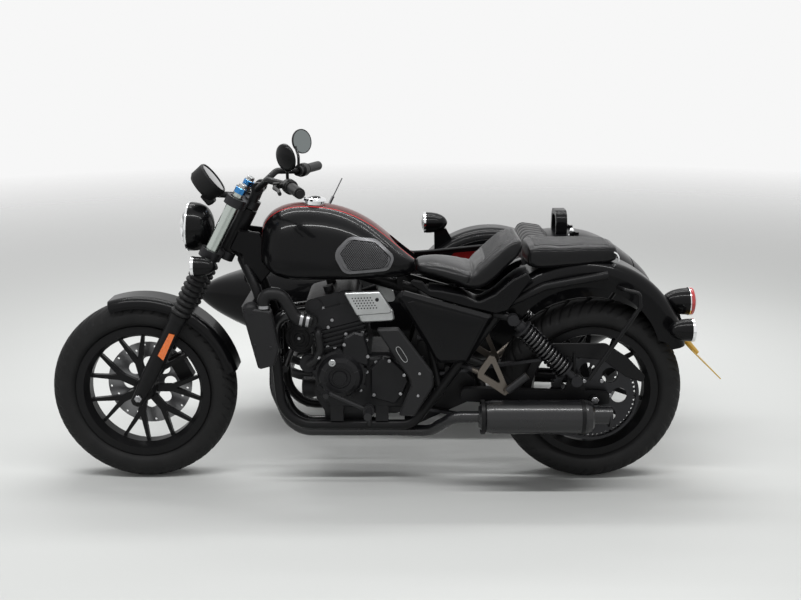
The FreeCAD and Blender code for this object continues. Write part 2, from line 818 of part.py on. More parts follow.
def fork_sliders():
    """Lower fork legs with their axle, and the brake caliper on the right leg."""
    low = FRONT_AXLE - STEER_UP * 34
    high = on_fork(mm.slider_top)
    length = (high - low).Length
    outline = [
        (0, 15),
        (8, 22),
        (60, 24),
        (110, mm.slider_radius),
        (length - 24, mm.slider_radius),
        (length - 23, mm.slider_radius + 3),
        (length, mm.slider_radius + 3),
    ]
    legs = []
    for side in (-1, 1):
        start = low + Vector(0, side * FORK_HALF, 0)
        legs.append(stepped(start, STEER_UP, outline))
    reach = FORK_HALF + 26
    axle = rod(FRONT_AXLE - Vector(0, reach, 0), FRONT_AXLE + Vector(0, reach, 0), mm.axle_radius)
    hub_face = (mm.front_width - mm.rim_margin) / 2 - 14
    spacers = []
    for side, start in ((-1, hub_face + 1), (1, mm.disc_offset + 4)):
        a = FRONT_AXLE + Vector(0, side * start, 0)
        b = FRONT_AXLE + Vector(0, side * (FORK_HALF - 10), 0)
        spacers.append(rod(a, b, mm.axle_radius + 5))
    disc_y = mm.disc_offset
    mid = FRONT_AXLE + Vector(math.sin(RAKE + 0.62), 0, math.cos(RAKE + 0.62)) * (mm.disc_radius - 22)
    caliper = block(-48, 48, -26, 26, -26, 26)
    caliper.Placement = Placement(Vector(mid.x, disc_y, mid.z), Rotation(Vector(0, 1, 0), mm.rake + 35.5))
    slot = Part.makeCylinder(
        mm.disc_radius + 4,
        mm.disc_thickness + 3,
        Vector(FRONT_AXLE.x, disc_y - 4, FRONT_AXLE.z),
        Vector(0, 1, 0),
    )
    wheel_room = Part.makeCylinder(230, 50, Vector(FRONT_AXLE.x, disc_y - 66, FRONT_AXLE.z), Vector(0, 1, 0))
    caliper = caliper.cut(slot).cut(wheel_room)
    leg_point = on_fork(FRONT_AXLE.z + 110, FORK_HALF)
    arm = rod(Vector(mid.x, disc_y + 18, mid.z), leg_point, 11)
    return part("fork_sliders", fused([*legs, axle, *spacers, caliper, arm]))


def bar_points():
    """Handlebar centreline on the right, from its middle to the grip's end."""
    clamp = on_steering(mm.upper_yoke) + STEER_UP * 62
    end = Vector(clamp.x + mm.bar_sweep, mm.bar_reach, mm.bar_height)
    inner = end + Vector(-52, -mm.grip_length - 45, 2)
    return [
        Vector(clamp.x, 0, clamp.z),
        Vector(clamp.x, 62, clamp.z),
        Vector(clamp.x + 45, 128, clamp.z + 40),
        inner,
        end,
    ]


def handlebar():
    """The bent handlebar on two risers."""
    points = bar_points()
    whole = [Vector(p.x, -p.y, p.z) for p in reversed(points[1:])] + points[1:]
    bar = bent_tube(whole, mm.bar_radius, [34, 38, 34, 34, 38, 34])
    clamps = []
    top = on_steering(mm.upper_yoke) + STEER_UP * (mm.yoke_thickness / 2)
    for side in (-1, 1):
        foot = Vector(top.x, side * 38, top.z) + STEER_BACK * 2
        head = Vector(points[0].x, side * 38, points[0].z)
        clamps.append(rod(foot, head, 16))
        clamps.append(rod(head - Vector(0, 16, 0), head + Vector(0, 16, 0), 21))
    return part("handlebar", keep_side(fused([bar, *clamps]).cut(node("yokes"))))


def grips():
    """Rubber grips with end weights, over the bar's ends."""
    points = bar_points()
    end = points[-1]
    along = (end - points[-2]).normalize()
    foot = end - along * (mm.grip_length - 4)
    grip = stepped(
        foot,
        along,
        [
            (0, mm.grip_radius + 4),
            (4, mm.grip_radius + 4),
            (4, mm.grip_radius),
            (mm.grip_length, mm.grip_radius),
            (mm.grip_length, 12),
            (mm.grip_length + 12, 12),
        ],
    )
    hole = rod(foot - along, end, mm.bar_radius + mm.fit_gap)
    return part("grips", pair(grip.cut(hole)))


def hand_controls():
    """Switch housings, lever perches and levers, one each side, and the brake reservoir on the right."""
    points = bar_points()
    end = points[-1]
    along = (end - points[-2]).normalize()
    inner = end - along * (mm.grip_length + 2)
    down = Vector(0, 0, 1) - along * along.z
    down.normalize()
    ahead = along.cross(down)
    if ahead.x > 0:
        ahead = ahead * -1
    housing = stepped(inner - along * 42, along, [(0, 19), (4, 24), (36, 24), (40, 20)])
    perch = rod(inner - along * 66, inner - along * 40, 18)
    neck = rod(inner - along * 57, inner - along * 50 + ahead * 34, 9)
    pivot = inner - along * 50 + ahead * 38
    lever_path = [
        pivot,
        pivot + along * 45 + ahead * 16,
        pivot + along * 110 + ahead * 14,
        pivot + along * 172 + ahead * 22,
    ]
    lever = bent_tube(lever_path, 6, 30)
    knuckle = rod(pivot - down * 10, pivot + down * 10, 11)
    bore = rod(inner - along * 90, end, mm.bar_radius)
    right = fused([fused([housing, perch]).cut(bore), neck.cut(bore), knuckle, lever])
    right = keep_side(right.cut(node("handlebar")))
    pot = rod(inner - along * 62 + ahead * 30 - down * 6, inner - along * 62 + ahead * 30 + down * 30, 17)
    left = mirrored(right)
    right = keep_side(fused([right, pot]).cut(node("handlebar")))
    return part("hand_controls", Part.makeCompound([left, right]))


def mirrors():
    """Round mirrors on bent stems from the lever perches, turned in towards the rider."""
    points = bar_points()
    end = points[-1]
    along = (end - points[-2]).normalize()
    inner = end - along * (mm.grip_length + 2)
    foot = inner - along * 57 + Vector(0, 0, 18 + mm.fit_gap)
    head = Vector(foot.x + 4, foot.y + 84, foot.z + 78)
    look = Vector(0.70, -0.68, 0.16).normalize()
    stem_end = head - look * 8
    knee = stem_end + Vector(-14, -30, -16)
    stem = bent_tube([foot, foot + Vector(0, 4, 34), knee, stem_end], 5, [20, 16])
    r = mm.mirror_radius
    shell = turned(head - look * 14, look, [(0, 0), (4, r * 0.7), (14, r), (18, r)])
    return part("mirrors", pair(keep_side(fused([stem, shell]).cut(node("hand_controls")))))


def headlamp_place():
    """Middle of the headlamp's rim and the way that it looks."""
    middle = on_steering(mm.lamp_height) - Vector(mm.lamp_ahead, 0, 0)
    look = Vector(-1, 0, 0.05).normalize()
    return middle, look


def headlamp():
    """A round headlamp: bowl-shaped shell with its bracket to the lower yoke, and a domed lens."""
    middle, look = headlamp_place()
    back = middle - look * mm.lamp_depth
    r = mm.lamp_radius
    d = mm.lamp_depth
    bowl = turned(back, look, [(0, 0), (d * 0.06, r * 0.46), (d * 0.34, r * 0.86), (d * 0.8, r), (d, r)])
    hollow = turned(
        back + look * 6,
        look,
        [(0, 0), (d * 0.06, r * 0.38), (d * 0.34, r * 0.79), (d * 0.8, r * 0.93), (d, r * 0.94)],
    )
    shell = bowl.cut(hollow)
    foot = on_steering(LOWER_YOKE) - STEER_BACK * (mm.yoke_offset - 6)
    arm = rod(back + look * 22 - Vector(0, 0, 30), foot, 11).cut(bowl)
    shell = keep_side(fused([shell, arm]).cut(node("yokes")))
    rim = r * 0.93 - mm.fit_gap
    seat = back + look * (d - 6)
    lens = fused([Part.makeCylinder(rim, 6, seat, look), dome(seat + look * 6, look, rim, mm.lamp_dome)])
    lens = lens.cut(shell)
    part("headlamp_shell", shell)
    return part("headlamp_lens", lens)


def dash_pod():
    """The round instrument pod above the headlamp, facing the rider, on a stay to the upper yoke."""
    face = Vector(0.79, 0, 0.61).normalize()
    middle = on_steering(mm.upper_yoke) - STEER_BACK * mm.dash_ahead - STEER_UP * 7
    back = middle - face * (mm.dash_depth / 2)
    r = mm.dash_radius
    d = mm.dash_depth
    rows = [
        (0, r * 0.80),
        (d * 0.18, r * 0.95),
        (d * 0.9, r),
        (d, r * 0.96),
        (d, r * 0.88),
        (d - 4, r * 0.88),
        (d - 4, 0),
    ]
    pod = stepped(back, face, rows)
    foot = on_steering(mm.upper_yoke) - STEER_BACK * (mm.yoke_offset + 14)
    stay = rod(middle + face * 6 - Vector(0, 0, 40), foot, 11)
    cheek = bevelled_plate(
        [
            (middle.x - 34, middle.z - 30, 6),
            (middle.x + 40, middle.z - 60, 10),
            (middle.x + 4, middle.z - 76, 8),
        ],
        26,
        -26,
        6,
    )
    return part("dash_pod", keep_side(fused([pod, stay, cheek]).cut(node("yokes"))))


def front_fender():
    """The front fender, an arched sheet close round the tyre, on lugs to the sliders."""
    crest = mm.front_radius + mm.fender_gap + mm.fender_wall
    half = mm.front_fender_width / 2
    section = arch_section(FRONT_AXLE, crest, half, mm.fender_skirt, mm.fender_wall, 30)
    shell = arched(FRONT_AXLE, section, 13.5, 108)
    lugs = []
    for side in (-1, 1):
        a = on_fork(FRONT_AXLE.z + 272, side * (half - 1))
        b = on_fork(FRONT_AXLE.z + 272, side * (FORK_HALF - mm.slider_radius + 2))
        lugs.append(rod(a, b, 15))
    fender = fused([shell, *lugs])
    return part("front_fender", keep_side(fender.cut(node("fork_sliders"))))


def bullet(middle, look, radius, depth):
    """A bullet-shaped lamp body with a flat rim for its lens."""
    back = middle - look * (depth / 2)
    return turned(
        back,
        look,
        [(0, 0), (depth * 0.12, radius * 0.5), (depth * 0.45, radius * 0.88), (depth, radius)],
    )


def front_signals():
    """Round front indicators on stalks from clamps round the fork tubes."""
    centre = on_fork(mm.gaiter_top + 38) + Vector(8, -FORK_HALF - 65, 0)
    look = Vector(-1, 0, 0)
    body = bullet(centre, look, mm.signal_radius, 2.3 * mm.signal_radius)
    clamp_low = on_fork(mm.gaiter_top + 12, -FORK_HALF)
    clamp = rod(clamp_low, clamp_low + STEER_UP * 18, mm.tube_radius + 8)
    stalk = rod(clamp_low + STEER_UP * 9, centre, 8)
    tube = rod(clamp_low - STEER_UP, clamp_low + STEER_UP * 60, mm.tube_radius)
    return part("front_signals", pair(fused([body, stalk, clamp]).cut(tube)))


# Frame, engine and exhaust


RAIL_Y = mm.rear_fender_width / 2 + mm.rail_radius + mm.fit_gap
SEAT_NODE = Vector(-600, 0, 668)
SHOCK_TOP = Vector(-286, 0, 606)
SHOCK_FOOT = Vector(-66, 0, 392)
CRADLE_BACK = -620
CRADLE_RUN = Vector(288, 0, 396)


def frame_path(side):
    """The centreline of one cradle tube, from the head tube down, along and up. side is -1 or 1."""
    y = side * mm.cradle_half
    low = mm.cradle_height
    return [
        on_steering(LOWER_YOKE + mm.yoke_thickness / 2 + 2) + STEER_UP * 36,
        Vector(-1150, y * 0.76, 700),
        Vector(-1088, y, 500),
        Vector(-1066, y, low),
        Vector(CRADLE_BACK, y, low),
        Vector(CRADLE_BACK, y, low) + CRADLE_RUN,
    ]


def cradle_tube(side, grow):
    """One cradle tube of the frame, its radius grown by a distance."""
    return bent_tube(frame_path(side), mm.frame_tube + grow, [90, 90, 110, 70])


def frame():
    """The main frame: head tube, backbone, twin cradle and the plates that carry the swingarm."""
    head_low = on_steering(LOWER_YOKE + mm.yoke_thickness / 2 + 2)
    head_high = on_steering(mm.upper_yoke - mm.yoke_thickness / 2 - 2)
    head = rod(head_low, head_high, mm.head_radius)
    bore = rod(head_low - STEER_UP, head_high + STEER_UP, mm.stem_radius + mm.running_gap)
    neck = head_low + STEER_UP * ((head_high - head_low).Length * 0.42)
    backbone = bent_tube([neck, Vector(-1070, 0, 815), SEAT_NODE], mm.backbone, 90)
    tubes = [head, backbone]
    half = mm.cradle_half
    low = mm.cradle_height
    for side in (-1, 1):
        tubes.append(cradle_tube(side, 0))
    for x, z, radius in ((CRADLE_BACK - 10, low + 6, 13), (-1058, 420, 12), (-600, 655, 13), (-500, 420, 11)):
        tubes.append(rod(Vector(x, -half + 2, z), Vector(x, half - 2, z), radius))
    plate_outline = [
        (-540, 440, 14),
        (-470, 440, 14),
        (-398, 362, 20),
        (-398, 308, 20),
        (-600, 212, 20),
        (-648, 212, 6),
        (-648, 236, 6),
        (-560, 300, 30),
    ]
    plate = side_plate(plate_outline, 12, 64, 76)
    tubes += [plate, mirrored(plate)]
    tubes.append(rod(Vector(-600, -half, 655), Vector(-522, -half, 330), 11))
    tubes.append(rod(Vector(-600, half, 655), Vector(-522, half, 330), 11))
    tunnel = mm.tank_tunnel - mm.fit_gap
    tubes.append(rod(Vector(-1080, -tunnel, 803), Vector(-1080, tunnel, 803), 8))
    tubes.append(block(TANK_BACK - 59, TANK_BACK - 39, -tunnel, tunnel, 690, 752))
    yoke_room = rod(on_steering(LOWER_YOKE - 80), head_low, 60)
    pivot_room = rod(PIVOT - Vector(0, half, 0), PIVOT + Vector(0, half, 0), mm.pivot_radius + mm.running_gap)
    shape = fused(tubes).cut(bore).cut(yoke_room).cut(pivot_room)
    return part("frame", keep_side(shape))


def seat_rails():
    """The rear subframe: two rails from the backbone's end to the fender, shock mounts and seat posts."""
    tubes = []
    for side in (-1, 1):
        y = side * RAIL_Y
        path = [
            SEAT_NODE,
            Vector(-560, y, 655),
            Vector(-348, y, 630),
            Vector(-180, y, 712),
            Vector(30, y, 752),
        ]
        tubes.append(bent_tube(path, mm.rail_radius, [30, 60, 60]))
        mount = Vector(SHOCK_TOP.x, side * (mm.shock_half - 16), SHOCK_TOP.z)
        tubes.append(rod(Vector(-348, y, 618), mount, 13))
        tubes.append(rod(mount, mount + Vector(0, side * 8, 0), 17))
    middle = (SEAT_FRONT + SEAT_BACK) / 2 - 45
    for x, z, radius in ((middle, 646, 11), (-358, 604, 12)):
        tubes.append(rod(Vector(x, -RAIL_Y, z), Vector(x, RAIL_Y, z), radius))
    for y in (-60, 60):
        tubes.append(rod(Vector(middle, y, 646), Vector(middle, y, 770), 9))
    return part("seat_rails", keep_side(fused(tubes).cut(node("frame")).cut(saddle())))


def swingarm():
    """Two boxed swingarm blades with their pivot tube, shock lugs, axle, chain adjusters and rear caliper."""
    half = mm.arm_half + 18
    outer = mm.shock_half - 15 - mm.fit_gap
    pivot = rod(PIVOT - Vector(0, half, 0), PIVOT + Vector(0, half, 0), mm.pivot_radius)
    blade_outline = [
        (PIVOT.x - 26, PIVOT.z + 22, 18),
        (PIVOT.x + 40, PIVOT.z + 25, 10),
        (REAR_AXLE.x + 20, REAR_AXLE.z + 22, 6),
        (REAR_AXLE.x + 52, REAR_AXLE.z + 18, 6),
        (REAR_AXLE.x + 52, REAR_AXLE.z - 18, 6),
        (REAR_AXLE.x + 20, REAR_AXLE.z - 22, 6),
        (PIVOT.x + 40, PIVOT.z - 25, 10),
        (PIVOT.x - 26, PIVOT.z - 22, 18),
    ]
    foot = SHOCK_FOOT
    lug_outline = [
        (foot.x - 46, REAR_AXLE.z + 10, 6),
        (foot.x - 18, foot.z + 18, 10),
        (foot.x + 18, foot.z + 18, 10),
        (foot.x + 40, REAR_AXLE.z + 10, 6),
    ]
    blade = side_plate(blade_outline, 6, outer - 27, outer)
    lug = side_plate(lug_outline, 6, outer - 12, outer)
    nut = Vector(REAR_AXLE.x, outer, REAR_AXLE.z)
    bolt = rod(nut, nut + Vector(0, 12, 0), 17)
    right = fused([blade, lug, bolt])
    axle = rod(REAR_AXLE - Vector(0, outer, 0), REAR_AXLE + Vector(0, outer, 0), mm.axle_radius)
    cross = rod(Vector(PIVOT.x + 52, -half, PIVOT.z), Vector(PIVOT.x + 52, half, PIVOT.z), 16)
    side = Vector(0, 1, 0)
    grip = mm.rear_disc_radius - 22
    lean = math.radians(38)
    middle = REAR_AXLE + Vector(math.cos(lean) * grip, mm.rear_disc_offset, math.sin(lean) * grip)
    caliper = block(-36, 36, -22, 24, -22, 24)
    caliper.Placement = Placement(middle, Rotation(side, 52))
    carrier = rod(middle + side * 16, Vector(REAR_AXLE.x + 30, outer - 14, REAR_AXLE.z + 12), 11)
    slot = Part.makeCylinder(
        mm.rear_disc_radius + 4,
        mm.disc_thickness + 5,
        REAR_AXLE + side * (mm.rear_disc_offset - mm.disc_thickness / 2 - 2.5),
        side,
    )
    wheel_side = (mm.rear_width - mm.rim_margin) / 2
    wheel_room = Part.makeCylinder(mm.rim_flange, wheel_side + 2, REAR_AXLE, side)
    brake = fused([caliper, carrier]).cut(slot).cut(wheel_room)
    return part("swingarm", fused([pivot, cross, axle, right, mirrored(right), brake]))


def engine_case():
    """The crankcase with its rounded shell, oil pan, oil filter, water pump and feet on the cradle."""
    back = -mm.engine_back
    front = back - mm.engine_length
    half = mm.engine_half
    case = side_plate(
        [
            (front, 330, 40),
            (front + 40, mm.engine_bottom, 30),
            (back - 60, mm.engine_bottom, 30),
            (back, 300, 40),
            (back, 430, 40),
            (back - 90, mm.engine_top, 20),
            (front + 20, mm.engine_top, 20),
        ],
        20,
        30 - half,
        half - 30,
    )
    shell = [
        (front + 10, 340, 40),
        (front + 60, mm.engine_bottom + 30, 30),
        (back - 40, mm.engine_bottom + 30, 30),
        (back, 330, 30),
        (back - 10, 430, 30),
        (back - 100, mm.engine_top - 10, 20),
        (front + 30, mm.engine_top - 10, 20),
    ]
    cheeks = [bevelled_plate(shell, side * (half - 34), side * half, 8) for side in (-1, 1)]
    pan = side_plate(
        [
            (front + 32, mm.engine_bottom + 20, 8),
            (front + 40, mm.sump_bottom, 16),
            (front + 165, mm.sump_bottom, 16),
            (front + 180, mm.engine_bottom + 20, 8),
        ],
        8,
        -86,
        86,
    )
    low = mm.sump_bottom
    ribs = [block(front + 42, front + 163, y - 2.5, y + 2.5, low - 5, low + 8) for y in range(-60, 61, 30)]
    oil_filter = stepped(Vector(front + 10, 0, 322), Vector(-1, 0, 0), [(0, 36), (52, 36), (58, 30), (58, 0)])
    pump = rod(Vector(front - 14, -half - 6, 446), Vector(front - 14, 20 - half, 446), 30)
    pump_arm = rod(Vector(front + 40, 24 - half, 440), Vector(front - 14, 24 - half, 446), 20)
    starter = rod(Vector(back - 62, -74, mm.engine_top + 4), Vector(back - 62, 74, mm.engine_top + 4), 27)
    pieces = [case, *cheeks, pan, *ribs, oil_filter, pump, pump_arm, starter]
    rail_top = mm.cradle_height + mm.frame_tube + mm.fit_gap
    for side in (-1, 1):
        for x in (front + 80, back - 115):
            y = side * mm.cradle_half
            pieces.append(block(x - 22, x + 22, y - 15, y + 15, rail_top, rail_top + 70))
            inner = side * 80
            pieces.append(block(x - 22, x + 22, min(inner, y), max(inner, y), rail_top + 4, rail_top + 70))
    pieces.append(rod(Vector(-626, 20 - half, 350), Vector(-626, mm.fit_gap - 160, 350), 8))
    return part("engine_case", fused(pieces))


def round_cover(side, x, z, radius):
    """A cast round cover: bolted flange, sloping dome, and a ring round its inspection plug."""
    base = Vector(x, side * (mm.engine_half + mm.fit_gap), z)
    look = Vector(0, side, 0)
    d = mm.cover_depth
    rows = [
        (0, radius),
        (d * 0.36, radius),
        (d * 0.42, radius * 0.90),
        (d * 0.80, radius * 0.78),
        (d * 0.94, radius * 0.62),
        (d * 0.94, radius * 0.44),
        (d * 0.86, radius * 0.42),
        (d * 0.86, radius * 0.30),
        (d, radius * 0.27),
    ]
    bosses = []
    for i in range(9):
        t = 2 * math.pi * (i + 0.3) / 9
        place = base + Vector(math.cos(t), 0, math.sin(t)) * (radius - 1)
        bosses.append(Part.makeCylinder(9, d * 0.36 + 3, place, look))
    return fused([stepped(base, look, rows), *bosses])


def engine_covers():
    """The round side covers, the gear housing above the left one, and the sprocket cover behind it."""
    face = mm.engine_half + mm.fit_gap
    left = round_cover(-1, -mm.engine_back - 256, 410, mm.cover_radius)
    lobe = bevelled_plate(
        [
            (-862, 470, 10),
            (-856, 540, 16),
            (-816, 563, 14),
            (-784, 553, 14),
            (-768, 500, 16),
            (-768, 440, 10),
        ],
        -face,
        -face - 24,
        6,
    )
    sprocket_case = bevelled_plate(
        [
            (-764, 432, 8),
            (-722, 474, 10),
            (-694, 470, 14),
            (-644, 420, 20),
            (-634, 388, 14),
            (-654, 340, 14),
            (-680, 306, 10),
            (-764, 330, 8),
        ],
        -face,
        -face - 20,
        6,
    )
    left = fused([left, lobe, sprocket_case]).cut(node("engine_case"))
    right = round_cover(1, -mm.engine_back - 225, 378, mm.clutch_radius)
    return part("engine_covers", Part.makeCompound([left, right]))


def engine_top():
    """The cylinder block, head and cam cover, leaning forward, with their fins and the inlet throats."""
    front = -mm.engine_back - mm.engine_length
    back = -mm.engine_back
    h = mm.cylinder_height
    half = mm.cylinder_half

    def slab(reach, low, high, wide, radius):
        corners = [(-reach, low, 4), (reach, low, 4), (reach, high, radius), (-reach, high, radius)]
        return side_plate(corners, 4, -wide, wide)

    pieces = [
        slab(84, -70, h * 0.45, half, 4),
        slab(96, h * 0.42, h * 0.78, half + 6, 8),
        slab(88, h * 0.76, h, half, 26),
    ]
    for i in range(5):
        z = 10 + i * 15
        pieces.append(slab(92, z, z + 6, half + 7, 1))
    for y in (-62, 62):
        pieces.append(rod(Vector(0, y, h - 4), Vector(0, y, h + 18), 17))
        pieces.append(rod(Vector(70, y, h * 0.6), Vector(150, y, h * 0.62), 27))
    for x in (-52, 52):
        pieces.append(rod(Vector(x, -half - 5, h * 0.86), Vector(x, half + 5, h * 0.86), 24))
    top = fused(pieces)
    root = Vector(front + 105, 0, mm.engine_top + 24)
    top.Placement = Placement(root, Rotation(Vector(0, 1, 0), -mm.cylinder_lean))
    floor = block(front - 200, back, -400, 400, 0, mm.engine_top + mm.fit_gap)
    shape = top.cut(floor).cut(node("engine_case")).cut(node("engine_covers"))
    return part("engine_top", keep_side(shape.cut(node("frame"))))


def radiator():
    """The radiator ahead of the downtubes, with its shrouded side tanks, filler neck and two hoses."""
    low = Vector(-1148, 0, 440)
    high = Vector(-1200, 0, 656)
    up = high - low
    lean = math.degrees(math.atan2(up.x, up.z))
    core = block(-16, 16, -130, 130, 8, up.Length - 8)
    core.Placement = Placement(low + Vector(18, 0, 0), Rotation(Vector(0, 1, 0), lean))
    shroud_outline = [
        (-1192, 656, 22),
        (-1094, 640, 14),
        (-1069, 505, 30),
        (-1084, 452, 14),
        (-1139, 437, 12),
    ]
    shroud = bevelled_plate(shroud_outline, -128, -176, 6)
    neck_foot = Vector(-1160, -152, 630)
    neck_up = Vector(-0.22, 0, 1).normalize()
    neck = fused(
        [rod(neck_foot, neck_foot + neck_up * 22, 26), dome(neck_foot + neck_up * 22, neck_up, 26, 16)]
    )
    shape = fused([core, shroud, mirrored(shroud), neck]).cut(node("frame"))
    shape = keep_side(shape)
    y = -152
    r = mm.hose_radius
    main = bent_tube(
        [
            Vector(-1118, y, 630),
            Vector(-1118, y, 694),
            Vector(-1058, y, 694),
            Vector(-1012, y, 612),
            Vector(-958, y, 600),
        ],
        r,
        [26, 40, 30],
    )
    elbow = rod(Vector(-962, y, 600), Vector(-956, -110, 600), r - 1)
    thin = bent_tube(
        [
            Vector(-939, -118, 566),
            Vector(-939, y, 560),
            Vector(-931, y, 500),
            Vector(-950, y, 462),
            Vector(-974, y + 4, 446),
        ],
        12.5,
        [12, 30, 20],
    )
    taken = node("engine_top").fuse([node("engine_case"), node("engine_covers")])
    hoses = [keep_side(fused([main, elbow]).cut(shape).cut(taken)), keep_side(thin.cut(taken))]
    part("radiator_hose", Part.makeCompound(hoses))
    return part("radiator", shape)


def exhaust():
    """Two header pipes under the engine, the right one joining the left, and the round muffler."""
    low = 178
    start_z = 590
    half = 48
    muffler_front = Vector(-15 - mm.muffler_length, -mm.muffler_half, mm.muffler_height)

    def header(y):
        return [
            Vector(-968, y, start_z + 16),
            Vector(-1092, y, start_z),
            Vector(-1100, y, 330),
            Vector(-1040, y, low),
        ]

    left = [
        *header(-half),
        Vector(-690, -half, low),
        Vector(-560, -mm.muffler_half + 95, low + 20),
        Vector(-480, -mm.muffler_half, mm.muffler_height),
        muffler_front + Vector(15, 0, 0),
    ]
    right = [*header(half), Vector(-780, half, low), Vector(-640, -half + 6, low + 1)]
    main = bent_tube(left, mm.pipe_radius, [55, 120, 100, 120, 90, 50])
    branch = bent_tube(right, mm.pipe_radius - 1, [55, 120, 100, 110])
    pipes_shape = keep_side(fused([main, branch]).cut(node("engine_top")))
    r = mm.muffler_radius
    length = mm.muffler_length
    can = stepped(
        muffler_front,
        Vector(1, 0, 0),
        [
            (0, r * 0.62),
            (10, r * 0.8),
            (26, r * 0.93),
            (48, r),
            (length - 22, r),
            (length - 8, r * 0.92),
            (length, r * 0.78),
        ],
    )
    inlet = rod(
        muffler_front - Vector(20, 0, 0),
        muffler_front + Vector(16, 0, 0),
        mm.pipe_radius + mm.fit_gap,
    )
    outlet = rod(
        muffler_front + Vector(length - 40, 0, 6),
        muffler_front + Vector(length + mm.outlet_length, 0, 6),
        mm.outlet_radius,
    )
    bore = rod(
        muffler_front + Vector(length - 20, 0, 6),
        muffler_front + Vector(length + mm.outlet_length + 1, 0, 6),
        mm.outlet_bore,
    )
    part("exhaust_pipes", pipes_shape)
    return part("muffler", fused([can, outlet]).cut(bore).cut(inlet).cut(pipes_shape))


# Tank, seats, panels

# Share of the length, then shares of the half width, of the rise of the top
# and of the drop of the underside, then the squareness of the section.
TANK_STATIONS = (
    (0.0, 0.38, 0.62, 0.0, 2.6),
    (0.03, 0.66, 0.76, 0.30, 2.6),
    (0.12, 0.90, 0.93, 0.84, 2.5),
    (0.30, 1.00, 1.00, 1.00, 2.4),
    (0.54, 0.97, 0.90, 1.00, 2.4),
    (0.74, 0.84, 0.62, 1.00, 2.4),
    (0.90, 0.66, 0.26, 0.96, 2.4),
    (1.0, 0.42, 0.02, 0.72, 2.4),
)


def tank_skin(grow):
    """The fuel tank's outer form, grown by a distance."""
    middle = mm.tank_bottom + 60
    rise = mm.tank_top - middle
    drop = middle - mm.tank_bottom
    rings = []
    for share, wide, up, down, square in TANK_STATIONS:
        x = -mm.tank_front + share * mm.tank_length + grow * (2 * share - 1)
        half = mm.tank_half * wide + grow
        rings.append(
            oval(x, 0, middle, half, max(rise * up, 6) + grow, max(drop * down, 6) + grow, 2.2, square + 1.2)
        )
    return Part.makeLoft(rings, True, False)


def tank():
    """The teardrop fuel tank with its tunnel over the backbone, the grille badges and the filler cap."""
    front = -mm.tank_front
    middle = mm.tank_bottom + 60
    skin = tank_skin(0)
    tunnel = block(front - 50, TANK_BACK + 50, -mm.tank_tunnel, mm.tank_tunnel, 0, middle + 34)
    arch = Part.makeCylinder(
        mm.tank_tunnel,
        mm.tank_length + 100,
        Vector(front - 50, 0, middle + 34),
        Vector(1, 0, 0),
    )
    part("fuel_tank", skin.cut(tunnel.fuse(arch)))
    scale = mm.tank_length / 515
    badge_outline = [
        (front + x * scale, z, radius)
        for x, z, radius in (
            (244, 832, 40),
            (298, 886, 40),
            (388, 872, 60),
            (450, 812, 24),
            (430, 768, 26),
            (282, 762, 34),
        )
    ]
    rim = side_plate(badge_outline, 30, -400, -40)
    mesh = side_plate(inset_points(badge_outline, mm.badge_rim), 30, -400, -40)
    proud = rim.cut(mesh).common(tank_skin(mm.badge_rise))
    floor = mesh.common(tank_skin(mm.badge_rise * 0.4))
    badge = fused([proud, floor]).cut(tank_skin(0.9))
    part("tank_badges", pair(keep_side(badge)))
    cap = stepped(
        Vector(-955, 0, mm.tank_top - 4),
        Vector(0.05, 0, 1),
        [(0, 36), (12, 36), (12, 40), (19, 38), (22, 30), (22, 0)],
    )
    return part("fuel_cap", cap.cut(skin))


def keep_side(shape):
    """The largest solid of a shape."""
    return max(shape.Solids, key=lambda solid: solid.Volume)


# Share of the length from the nose, middle height, half width share, rise and drop.
SADDLE_STATIONS = (
    (0.0, 762, 0.36, 14, 14),
    (0.06, 760, 0.52, 27, 24),
    (0.26, 752, 0.74, 34, 30),
    (0.46, 742, 0.92, 34, 34),
    (0.60, 752, 0.98, 40, 48),
    (0.75, 790, 1.0, 48, 52),
    (0.90, 838, 0.97, 48, 46),
    (0.97, 858, 0.92, 38, 32),
    (1.0, 862, 0.80, 20, 20),
)


def saddle():
    """The rider's saddle with its raised back, from the tank's end to the pillion pad."""
    half = mm.seat_width / 2
    length = SEAT_BACK - SEAT_FRONT
    rings = []
    for share, z, wide, up, down in SADDLE_STATIONS:
        rings.append(oval(SEAT_FRONT + share * length, 0, z, half * wide, up, down, 2.4, 2.7))
    return Part.makeLoft(rings, True, False)


def seats():
    """The rider's saddle and the pillion pad."""
    part("solo_seat", saddle())
    front = -mm.pillion_front
    length = mm.pillion_length
    top = mm.pillion_top
    deep = mm.pillion_depth / 2
    wide = mm.pillion_width / 2
    pad = Part.makeLoft(
        [
            oval(front, 0, top - deep - 6, wide * 0.94, deep * 0.7, deep * 0.8, 3, 3.4),
            oval(front + 24, 0, top - deep - 2, wide, deep, deep, 3, 3.4),
            oval(front + length * 0.6, 0, top - deep + 2, wide * 0.9, deep * 0.94, deep * 0.84, 3, 3.4),
            oval(front + length * 0.93, 0, top - deep + 2, wide * 0.72, deep * 0.7, deep * 0.7, 3, 3.4),
            oval(front + length, 0, top - deep + 2, wide * 0.55, deep * 0.4, deep * 0.42, 3, 3.4),
        ],
        True,
        False,
    )
    return part("pillion_seat", pad.cut(fender_room(40)))


def fender_room(beside):
    """The space that the rear fender fills, and what is beside it to a distance."""
    half = mm.rear_fender_width / 2 + beside
    centre = Vector(-mm.rear_fender_x, -half, mm.rear_fender_z)
    return Part.makeCylinder(mm.rear_fender_radius + mm.fit_gap, 2 * half, centre, Vector(0, 1, 0))


def on_cradle(share, side):
    """The point of the rising cradle tube at a share of its run. side is -1 on the left, 1 on the right."""
    return Vector(CRADLE_BACK, side * mm.cradle_half, mm.cradle_height) + CRADLE_RUN * share


